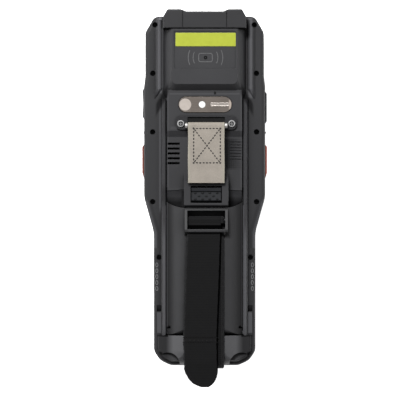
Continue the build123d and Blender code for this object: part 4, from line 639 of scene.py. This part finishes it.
FINISH_NODES = {
    "housing_plastic": ["front_housing", "rear_housing"],
    "cap_plastic": ["scanner_cap"],
    "heel_plastic": ["bottom_cap"],
    "cover_plastic": ["battery_cover"],
    "latch_plastic": ["battery_latch"],
    "black_plastic": ["scan_engine", "camera_module", "speaker"],
    "scan_orange": ["scan_button_left", "scan_button_right", "key_scan"],
    "black_steel": ["housing_screws", "strap_pin"],
    "bracket_steel": ["strap_bracket"],
    "screw_steel": ["bracket_screws"],
    "dulled_steel": ["latch_spring"],
    "bright_steel": ["strap_bar", "cover_hinge_pin", "strap_foot_bar", "usb_port"],
    "display_tray": ["display_module"],
    "contact_brass": ["battery_contacts", "dock_contacts"],
    "camera_metal": ["camera_plate"],
    "lens_glass": ["camera_lens"],
    "diffuser_white": ["flash_lens"],
    "window_red": ["scan_window"],
    "display_glass": ["display_glass"],
    "label_yellow": ["label_plate"],
    "board_green": ["main_board"],
    "battery_wrap": ["battery_pack"],
    "seal_rubber": ["housing_gasket"],
    "grip_rubber": ["grip_pads"],
}
dress = {member: finishes[key] for key, members in FINISH_NODES.items() for member in members}
for member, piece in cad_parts.items():
    piece.data.materials.clear()
    piece.data.materials.append(dress.get(member, finishes["key_rubber"]))


# ---- bands of webbing and leather ----
PLAY = 0.1  # between layers, and between a layer and what it lies on
STRAP_THICK = 1.1
COVER_TOP = 28.4
LOWER_Z = COVER_TOP + PLAY + STRAP_THICK / 2
UPPER_Z = LOWER_Z + STRAP_THICK + PLAY


def section(upper, edge):
    """A closed section: its upper face from the left, the heights down its edge, and both mirrored below."""
    right = [((1, 0), height) for height in edge]
    lower = [(share, -height) for share, height in reversed(upper)]
    left = [((-1, 0), -height) for height in edge]
    return upper + right + lower + left


# flat, with rounded selvages
h, bulge = STRAP_THICK / 2, 0.12
webbing_section = section([((-1, h * 0.9), h * 0.86), ((-0.94, 0), h + bulge * 0.4), ((-0.6, 0), h),
                           ((0, 0), h + bulge * 0.3), ((0.6, 0), h), ((0.94, 0), h + bulge * 0.4),
                           ((1, -h * 0.9), h * 0.86)], [0.0])


def stations_on(route, edges, wave=0.0):
    """Stations along a side route of (y, z) points; edges gives left and right x at (y, travelled)."""
    stations = []
    travelled = 0.0
    for i, (y, z) in enumerate(route):
        ahead = Vector(route[min(i + 1, len(route) - 1)]) - Vector(route[max(i - 1, 0)])
        ahead.normalize()
        if i:
            travelled += (Vector((y, z)) - Vector(route[i - 1])).length
        left, right = edges(y, travelled)
        up = Vector((0, -ahead[1], ahead[0]))
        lift = wave * math.sin(travelled * 0.21) * math.sin(travelled * 0.047 + 1.0)
        point = Vector(((left + right) / 2, y, z)) + up * lift
        stations.append((point, Vector((1, 0, 0)), up, (right - left) / 2))
    return stations


def band(name, stations, profile, finish, angle):
    """A closed band in one finish, shaded smooth up to the angle."""
    piece = smoothed(outward(band_mesh(name, stations, profile)), angle)
    piece.data.materials.append(finish)
    return piece


def wrap(radius):
    """How far the middle of the webbing lies from the middle of the round bar it goes over."""
    return radius + PLAY + STRAP_THICK / 2


# ---- hand strap ----
PIN_Y, PIN_Z = -12.4, 27.2  # in the cover's loop
BAR_Y, BAR_Z = -90.6, 17.3  # in the slot of the lower end
TURN_Y = -94.6  # where the lower layer turns up outside the heel
NECK_Y = -13.9  # where both layers part behind the pin
FLAP_LEFT = [(-13.0, -9.1), (-20.6, -9.86), (-57.0, -11.26), (-79.4, -11.9), (-93.0, -11.5)]
FLAP_RIGHT = [(-13.0, 9.6), (-23.4, 9.3), (-45.8, 8.6), (-76.6, 7.3), (-95.5, 7.4)]
TIP_STATIONS = 14


def along(table, y):
    """A value between the entries of a table of (y, value), y falling."""
    if y >= table[0][0]:
        return table[0][1]
    for (y0, v0), (y1, v1) in zip(table, table[1:]):
        if y >= y1:
            share = (y0 - y) / (y0 - y1)
            return v0 + (v1 - v0) * share
    return table[-1][1]


def flap_edges(y, travelled):
    """Left and right edge of the upper layer: it drifts aside and ends in a round tongue."""
    left = along(FLAP_LEFT, y)
    right = along(FLAP_RIGHT, y)
    if y < -93.0:
        left = 0.5 - 12.0 * math.sqrt(max(0.0, 1 - ((-93.0 - y) / 12.42) ** 2))
    if y < -95.5:
        right = 0.5 + 6.9 * math.sqrt(max(0.0, 1 - ((-95.5 - y) / 9.92) ** 2))
    left += 0.12 * math.sin(travelled * 0.9) + 0.08 * math.sin(travelled * 2.3)
    return left, right


def lower_edges(y, travelled):
    """Left and right edge of the lower layer."""
    frayed = 0.07 * math.sin(travelled * 1.7) + 0.05 * math.sin(travelled * 4.1)
    return STRAP_X - 10.15 + frayed, STRAP_X + 9.95 + frayed * 0.7


foot = wrap(0.9)
hold = wrap(1.0)
pin_y = PIN_Y + hold + 0.01
lower_route = side_route(
    [(BAR_Y - 2.4, BAR_Z - foot), (BAR_Y + foot, BAR_Z - foot), (BAR_Y + foot, BAR_Z + foot),
     (TURN_Y, BAR_Z + foot), (TURN_Y, LOWER_Z), (-22.5, LOWER_Z), (-14.3, PIN_Z - hold),
     (pin_y, PIN_Z - hold), (pin_y, PIN_Z + hold), (NECK_Y, PIN_Z + hold)],
    [foot * 0.98, foot * 0.98, 0.9, 8.5, 6.0, 3.0, hold * 0.98, hold * 0.98], 0.7)
flap_route = side_route(
    [(NECK_Y, PIN_Z + hold), (-20.7, UPPER_Z), (-91.5, UPPER_Z), (-105.2, UPPER_Z - 1.6)], [8.0, 20.0], 0.6)
# the last stations crowd towards the tip, so that the tongue ends round
tip_y, tip_z = flap_route[-1]
flap_route = [p for p in flap_route if p[0] > tip_y + 3.0]
last_y, last_z = flap_route[-1]
for k in range(1, TIP_STATIONS + 1):
    rest = (1 - k / TIP_STATIONS) ** 2
    flap_route.append((tip_y + (last_y - tip_y) * rest, tip_z + (last_z - tip_z) * rest))

lower_band = band("hand_strap_webbing", stations_on(lower_route, lower_edges), webbing_section, webbing, 50)
flap_band = band("strap_tail_webbing", stations_on(flap_route, flap_edges, 0.06), webbing_section,
                 pile_webbing, 50)


# ---- leather tab ----
ROD_Y, ROD_Z = 40.3, 29.3  # the steel bar
END_Y, END_Z = 8.45, 31.1  # the free end
TAB_PLY = 1.0
TAB_HALF = 10.15


def tab_edges(y, travelled):
    """The tab's sides, cut by hand: a little out of true."""
    return (STRAP_X - TAB_HALF + 0.06 * math.sin(travelled * 0.31),
            STRAP_X + TAB_HALF + 0.06 * math.sin(travelled * 0.23))


ply = TAB_PLY / 2
ring = 0.97 + ply
tab_route = side_route(
    [(END_Y, END_Z - ply), (37.1, 29.75), (38.9, ROD_Z - ring), (ROD_Y + ring, ROD_Z - ring),
     (ROD_Y + ring, ROD_Z + ring), (END_Y, END_Z + ply)], [1.5, 1.2, ring * 0.99, ring * 0.99], 0.7)
tab_section = section([((-1, 0.22), ply), ((-0.8, 0), ply), ((0, 0), ply), ((0.8, 0), ply), ((1, -0.22), ply)],
                      [TAB_PLY * 0.3, TAB_PLY * -0.3])
tab = band("folded_leather_tab", stations_on(tab_route, tab_edges), tab_section, leather, 40)


def tab_top(y):
    """Height of the tab's upper face."""
    share = (y - END_Y) / (ROD_Y + ring - END_Y)
    return END_Z + TAB_PLY + share * (ROD_Z + ring - END_Z - ply)


# ---- stitches, made by a node tree ----
THREAD_SIZE = ("Thread length", "Thread width", "Thread height")


def stitch_tree():
    """Threads laid along the edges of a line mesh, each turned a little at random."""
    tree = bpy.data.node_groups.new("stitch_row", "GeometryNodeTree")
    for name in ("Line", "Spacing", *THREAD_SIZE, "Wander", "Thread"):
        kind = {"Line": "Geometry", "Thread": "Material"}.get(name, "Float")
        tree.interface.new_socket(name, in_out="INPUT", socket_type="NodeSocket" + kind)
    tree.interface.new_socket("Stitches", in_out="OUTPUT", socket_type="NodeSocketGeometry")

    def add(kind, feeds=None, **settings):
        return add_node(tree, kind, feeds, **settings).outputs

    given = add("NodeGroupInput")
    curve = add("GeometryNodeMeshToCurve", {"Mesh": given["Line"]})
    points = add("GeometryNodeCurveToPoints", {"Curve": curve[0], "Length": given["Spacing"]}, mode="LENGTH")
    ball = add("GeometryNodeMeshIcoSphere", {"Radius": 0.5, "Subdivisions": 2})
    turn = add("FunctionNodeAlignRotationToVector", {"Vector": points["Tangent"]}, axis="X")
    back = add("ShaderNodeMath", {0: given["Wander"], 1: -1.0}, operation="MULTIPLY")
    feeds = {"Min": back[0], "Max": given["Wander"], "Seed": SEED}
    wander = add("FunctionNodeRandomValue", feeds, data_type="FLOAT")
    about_z = add("ShaderNodeCombineXYZ", {"Z": wander["Value"]})
    rotate = add("FunctionNodeRotateRotation", {"Rotation": turn[0], "Rotate By": about_z[0]})
    size = add("ShaderNodeCombineXYZ", {axis: given[name] for axis, name in zip("XYZ", THREAD_SIZE)})
    laid = add("GeometryNodeInstanceOnPoints", {"Points": points["Points"], "Instance": ball["Mesh"],
                                                "Rotation": rotate[0], "Scale": size[0]})
    real = add("GeometryNodeRealizeInstances", {0: laid[0]})
    soft = add("GeometryNodeSetShadeSmooth", {0: real[0]})
    paint = add("GeometryNodeSetMaterial", {"Geometry": soft[0], "Material": given["Thread"]})
    add("NodeGroupOutput", {0: paint[0]})
    return tree


STITCHES = stitch_tree()


def stitched(name, lines, thread, spacing, size, wander=0.05):
    """Stitches of a size (length, width, height) along several lines of points, all in millimetres."""
    corners = []
    edges = []
    for line in lines:
        base = len(corners)
        corners += [Vector(p) * MM for p in line]
        edges += [(base + i, base + i + 1) for i in range(len(line) - 1)]
    mesh = bpy.data.meshes.new(name + "_line")
    mesh.from_pydata(corners, edges, [])
    holder = put(name + "_line", mesh)
    modifier = holder.modifiers.new("made", "NODES")
    modifier.node_group = STITCHES
    values = {"Spacing": spacing * MM, "Wander": wander, "Thread": thread}
    for key, value in zip(THREAD_SIZE, size):
        values[key] = value * MM
    for item in STITCHES.interface.items_tree:
        if item.name in values:
            modifier[item.identifier] = values[item.name]
    return plain(holder, name)


def tab_line(start, end, steps=8):
    """A straight line over the tab's upper face."""
    line = []
    for k in range(steps + 1):
        x, y = [a + (b - a) * k / steps for a, b in zip(start, end)]
        line.append((x, y, tab_top(y) + 0.02))
    return line


# a box and a cross on the tab
LEFT, RIGHT, LOWER, UPPER = -6.1, 8.7, 19.6, 38.7
box = [(LEFT, LOWER), (RIGHT, LOWER), (RIGHT, UPPER), (LEFT, UPPER)]
ends = [(x + dx, y + dy) for (x, y), (dx, dy) in zip(box, ((0.8, 1), (-0.8, 1), (-0.8, -1), (0.8, -1)))]
box_lines = [tab_line(a, b) for a, b in zip(box, box[1:] + box[:1])]
box_lines += [tab_line(ends[0], ends[2]), tab_line(ends[1], ends[3])]
tab_stitches = stitched("tab_stitches", box_lines, tab_thread, 1.75, (1.35, 0.74, 0.36))


def flap_line(y, inset, spots=12):
    """A straight line across the strap's upper layer."""
    left, right = flap_edges(y, 0.0)
    span = right - left - 2 * inset
    return [(left + inset + span * k / spots, y + 0.12 * math.sin(k * 1.9), UPPER_Z + STRAP_THICK / 2)
            for k in range(spots + 1)]


seam_lines = [flap_line(-77.5, 0.3), flap_line(-80.1, 0.3)]
seams = stitched("strap_seams", seam_lines, seam_thread, 1.25, (1.35, 0.5, 0.3), 0.2)
seam_dashes = stitched("strap_seam_dashes", [flap_line(-79.0, 1.4)], seam_pale, 2.1, (1.2, 0.35, 0.24), 0.25)

DOT_PITCH = 4.05


def dot_row(y, count):
    """A row of places on the latch's upper face."""
    half = (count - 1) / 2
    return [(STRAP_X + (k - half) * DOT_PITCH, y, 29.2 - (y + 1.2) * 0.085) for k in range(count)]


# a hair under the pitch, so that both ends of a row get a dot
latch_rows = [dot_row(2.7, 4), dot_row(1.0, 3), dot_row(-0.7, 4)]
latch_dots = stitched("latch_dots", latch_rows, dot_plastic, DOT_PITCH - 0.001, (1.7, 1.15, 0.2), 0.0)


# ---- printed and flat marks ----
def stroke(points, width, z, thick=0.05, closed=False):
    """Corners and faces of a flat line through (x, y) points, from z up, or down where thick is negative."""
    count = len(points)
    corners = []
    for i, point in enumerate(points):
        here = Vector(point)
        before = Vector(points[(i - 1) % count]) if closed or i else here
        after = Vector(points[(i + 1) % count]) if closed or i < count - 1 else here
        way = (after - before).normalized()
        out = Vector((-way.y, way.x)) * width / 2
        for level in sorted((z, z + thick)):
            corners += [(*(here + out), level), (*(here - out), level)]
    faces = []
    for i in range(count if closed else count - 1):
        p, q = i * 4, (i + 1) % count * 4
        faces += [(p, p + 1, q + 1, q), (p + 2, q + 2, q + 3, p + 3),
                  (p, q, q + 2, p + 2), (p + 1, p + 3, q + 3, q + 1)]
    if not closed:
        last = (count - 1) * 4
        faces += [(0, 2, 3, 1), (last, last + 1, last + 3, last + 2)]
    return corners, faces


def joined(name, shapes, material):
    """Several (corners, faces) as one piece."""
    corners = []
    faces = []
    for some, sides in shapes:
        base = len(corners)
        corners += some
        faces += [tuple(base + i for i in side) for side in sides]
    return outward(make_mesh(name, corners, faces, material, False))


def arc(x, y, radius, start, end, parts=18):
    """Points on an arc, angles in degrees."""
    turn = [math.radians(start + (end - start) * k / parts) for k in range(parts + 1)]
    return [(x + radius * math.cos(t), y + radius * math.sin(t)) for t in turn]


def round_box(x, y, wide, high, radius):
    """Points of a rounded rectangle."""
    dx = wide / 2 - radius
    dy = high / 2 - radius
    line = []
    for turn, a, b in ((0, dx, dy), (90, -dx, dy), (180, -dx, -dy), (270, dx, -dy)):
        line += arc(x + a, y + b, radius, turn, turn + 90, 6)
    return line


def block(x0, x1, y0, y1, z0, z1):
    """Corners and faces of a box."""
    corners = [(x, y, z) for z in (z0, z1) for x, y in ((x0, y0), (x1, y0), (x1, y1), (x0, y1))]
    return corners, skin(2, 4)


ICON = (0.5, 78.2)
icon_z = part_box("label_plate")[0].z / MM - 0.02
icon_marks = [stroke(round_box(*ICON, 7.6, 4.7, 1.2), 0.42, icon_z, closed=True),
              stroke(round_box(*ICON, 1.3, 1.3, 0.6), 0.7, icon_z, closed=True)]
for side in (0, 180):
    for radius, half in ((6.9, 27), (9.6, 25)):
        icon_marks.append(stroke(arc(*ICON, radius, side - half, side + half), 0.42, icon_z))
icon = joined("reader_pictogram", icon_marks, ink)


def beaded_plate(name, x0, x1, y0, y1, z, material, thick=0.22, rim=0.25):
    """A thin plate with a rolled border, standing on z."""
    levels = [(0.0, z), (0.0, z + thick * 0.7), (0.12, z + thick), (rim, z + thick), (rim + 0.12, z + thick * 0.6)]
    corners = []
    for inset, level in levels:
        line = round_box((x0 + x1) / 2, (y0 + y1) / 2, x1 - x0 - 2 * inset, y1 - y0 - 2 * inset,
                         max(0.08, 0.4 - inset))
        corners += [(x, y, level) for x, y in line]
    return outward(make_mesh(name, corners, skin(len(levels), len(line)), material, False))


plate_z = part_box("camera_plate")[1].z / MM
strip = beaded_plate("bare_plate_strip", 3.3, 13.6, 51.2, 53.3, plate_z - 0.05, bare_strip)
# a black sheet in the recess under the bar, standing in for the shade there
bar_shade_sheet = joined("bar_recess_shade", [block(STRAP_X - 10.3, STRAP_X + 10.3, 38.75, 45.05, 26.55, 26.8)], shade_black)
# a flat black patch standing in for the shade inside the microphone hole
hole = joined("microphone_hole_shade", [block(5.2, 6.4, 57.9, 59.5, 26.5, 26.63)], shade_black)

# the rims of the dimples down both grip pads
grip_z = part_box("grip_pads")[1].z / MM
rims = []
for side in (1, -1):
    for k in range(5):
        oval = [(side * 26.75 + x * 0.6, -37.4 - k * 3.3 + y * 1.15) for x, y in arc(0, 0, 1, 0, 360, 20)[:-1]]
        rims.append(stroke(oval, 0.34, grip_z - 0.03, 0.09, closed=True))
grip_rings = joined("grip_dimple_rims", rims, pale_ink)


# ---- latch spring ----
SPRING_LOW, SPRING_HIGH = 6.2, 10.2


def wave_spring(half=8.0, thick=0.32, steps=96):
    """A strip of spring steel bent into three waves, standing on edge behind the latch."""
    waves = 6 * math.pi
    middle = (SPRING_LOW + SPRING_HIGH) / 2
    swing = (SPRING_HIGH - SPRING_LOW - thick) / 2 - 0.02
    corners = []
    for i in range(steps + 1):
        turn = waves * i / steps
        slope = -swing * math.sin(turn) * waves / (2 * half)
        side = Vector((-slope, 1)).normalized() * thick / 2
        x, y = STRAP_X - half + 2 * half * i / steps, middle + swing * math.cos(turn)
        for z, way in ((25.25, -1), (25.25, 1), (26.75, 1), (26.75, -1)):
            corners.append((x + side[0] * way, y + side[1] * way, z))
    return smoothed(outward(make_mesh("wave_spring", corners, skin(steps + 1, 4), finishes["dulled_steel"])))


spring = wave_spring()


# ---- key legends ----
LEGEND_DEEP = -0.05


def key_middle(name):
    """The middle of a key's front face in millimetres."""
    low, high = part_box(name)
    return (low.x + high.x) / 2 / MM, (low.y + high.y) / 2 / MM, low.z / MM


def legend_text(name, words, size):
    """A digit or sign on a key, read from the front."""
    curve = bpy.data.curves.new("legend", "FONT")
    curve.body = words
    curve.size = size * MM
    curve.extrude = 0.03 * MM
    curve.align_x = "CENTER"
    curve.align_y = "CENTER"
    mark = put("legend", curve)
    mark.matrix_world = Matrix.Translation(Vector(key_middle(name)) * MM) @ Matrix.Rotation(math.pi, 4, "Y")
    made = plain(mark, name + "_legend")
    made.data.materials.clear()
    made.data.materials.append(legend_ink)
    return made


def legend_lines(name, *lines, closed=False):
    """A sign on a key, of lines about its middle, each given as its width and its points."""
    x, y, z = key_middle(name)
    shapes = [stroke([(x + a, y + b) for a, b in spots], width, z, LEGEND_DEEP, closed) for width, *spots in lines]
    return joined(name + "_legend", shapes, legend_ink)


legends = {"key_star": legend_text("key_star", "*", 5.2), "key_hash": legend_text("key_hash", "#", 4.0)}
for i in range(10):
    legends[f"key_{i}"] = legend_text(f"key_{i}", str(i), 4.0)
for name in ("key_nav_up", "key_nav_left", "key_nav_down", "key_nav_right"):
    # the front is seen mirrored, so the left and right arrows go by place
    sideways = 90 if key_middle(name)[0] < 0 else 270
    turn = math.radians({"key_nav_up": 0, "key_nav_down": 180}.get(name, sideways))
    c, s = math.cos(turn), math.sin(turn)
    head = [(a * c - b * s, a * s + b * c) for a, b in ((-1.2, -0.7), (0, 0.9), (1.2, -0.7))]
    legends[name] = legend_lines(name, (0.45, *head))
legends["key_nav_ok"] = legend_lines("key_nav_ok", (0.4, *arc(0, 0, 1.5, 0, 360, 24)[:-1]), closed=True)
bars = [(0.48 if k * 5 % 3 == 0 else 0.2, (k * 0.75 - 3, -1.7), (k * 0.75 - 3, 1.7)) for k in range(9)]
legends["key_scan"] = legend_lines("key_scan", *bars)
legends["key_enter"] = legend_lines("key_enter", (0.45, (-2.6, 1.4), (-2.6, -0.6), (2.2, -0.6)),
                                    (0.45, (0.9, -1.8), (2.3, -0.6), (0.9, 0.6)))
legends["key_escape"] = legend_lines("key_escape", (0.45, (-1.4, -1.4), (1.4, 1.4)),
                                     (0.45, (-1.4, 1.4), (1.4, -1.4)))
for name, mark in legends.items():
    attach(mark, name)


# ---- what rides on what ----
for piece in (lower_band, flap_band):
    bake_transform(piece)
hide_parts("hand_strap")
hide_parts("strap_flap")
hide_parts("leather_tab")
for piece in (tab, tab_stitches):
    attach(piece, "leather_tab")
for piece in (seams, seam_dashes):
    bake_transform(piece)
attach(latch_dots, "battery_latch")
for piece, finish in ((bar_shade_sheet, "black_plastic"), (hole, "black_plastic"), (grip_rings, "grip_rubber")):
    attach(piece, "housing")
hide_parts("latch_spring")
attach(spring, "housing")
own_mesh(spring)
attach(icon, "housing")
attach(strip, "housing")


# ---- studio: pale paper under soft light, seen from straight above ----
PAPER_HALF = 900
CAMERA_PLACE = (-2.58, -1.04, 1200)
CAMERA_LENS = 189.3


def floor_material():
    """Pale matt paper."""
    f = Finish("paper_floor")
    fibre = f.noise(1.5, 3, 0.6)
    tone = f.mix(f.ranged(fibre, 0.3, 0.7), (0.93, 0.93, 0.93), (0.97, 0.97, 0.97))
    return f.end(tone, 0.9, f.bump(fibre, 0.02, 0.3), Specular_IOR_Level=0.1,
                 Emission_Color=(1.0, 1.0, 1.0, 1.0), Emission_Strength=0.95)


corners = [(x * PAPER_HALF, y * PAPER_HALF, 0) for x, y in ((-1, -1), (1, -1), (1, 1), (-1, 1))]
floor = make_mesh("paper", corners, [(0, 1, 2, 3)], floor_material(), False)

# the sky is white to the camera and dim as a light
scene = bpy.context.scene
world = bpy.data.worlds.new("studio")
scene.world = world
world.use_nodes = True
sky = world.node_tree.nodes["Background"]
sky.inputs["Color"].default_value = (1.0, 1.0, 1.0, 1.0)
seen = add_node(world.node_tree, "ShaderNodeLightPath").outputs["Is Camera Ray"]
strength = add_node(world.node_tree, "ShaderNodeMapRange", {"Value": seen, "To Min": 0.28, "To Max": 1.0})
world.node_tree.links.new(strength.outputs[0], sky.inputs["Strength"])
scene.view_settings.view_transform = "Standard"


def softbox(name, spot, wide, high, power):
    """A rectangular lamp aimed at the terminal."""
    lamp = bpy.data.lights.new(name, "AREA")
    lamp.shape = "RECTANGLE"
    lamp.size = wide
    lamp.size_y = high
    lamp.energy = power
    holder = put(name, lamp)
    holder.location = spot
    holder.rotation_euler = (Vector((0, 0, 0.02)) - Vector(spot)).to_track_quat("-Z", "Y").to_euler()


softbox("overhead", (-0.28, 0.75, 1.0), 0.4, 0.3, 22.5)
softbox("left", (-0.95, 0.35, 0.6), 0.2, 0.6, 3)
softbox("right", (0.95, 0.35, 0.5), 0.2, 0.6, 2.5)

camera = bpy.data.cameras.new("straight_down")
camera.sensor_width = 36
camera.lens = CAMERA_LENS
camera.clip_start = 0.05
camera.clip_end = 10
eye = put("straight_down", camera)
eye.location = Vector(CAMERA_PLACE) * MM
scene.camera = eye
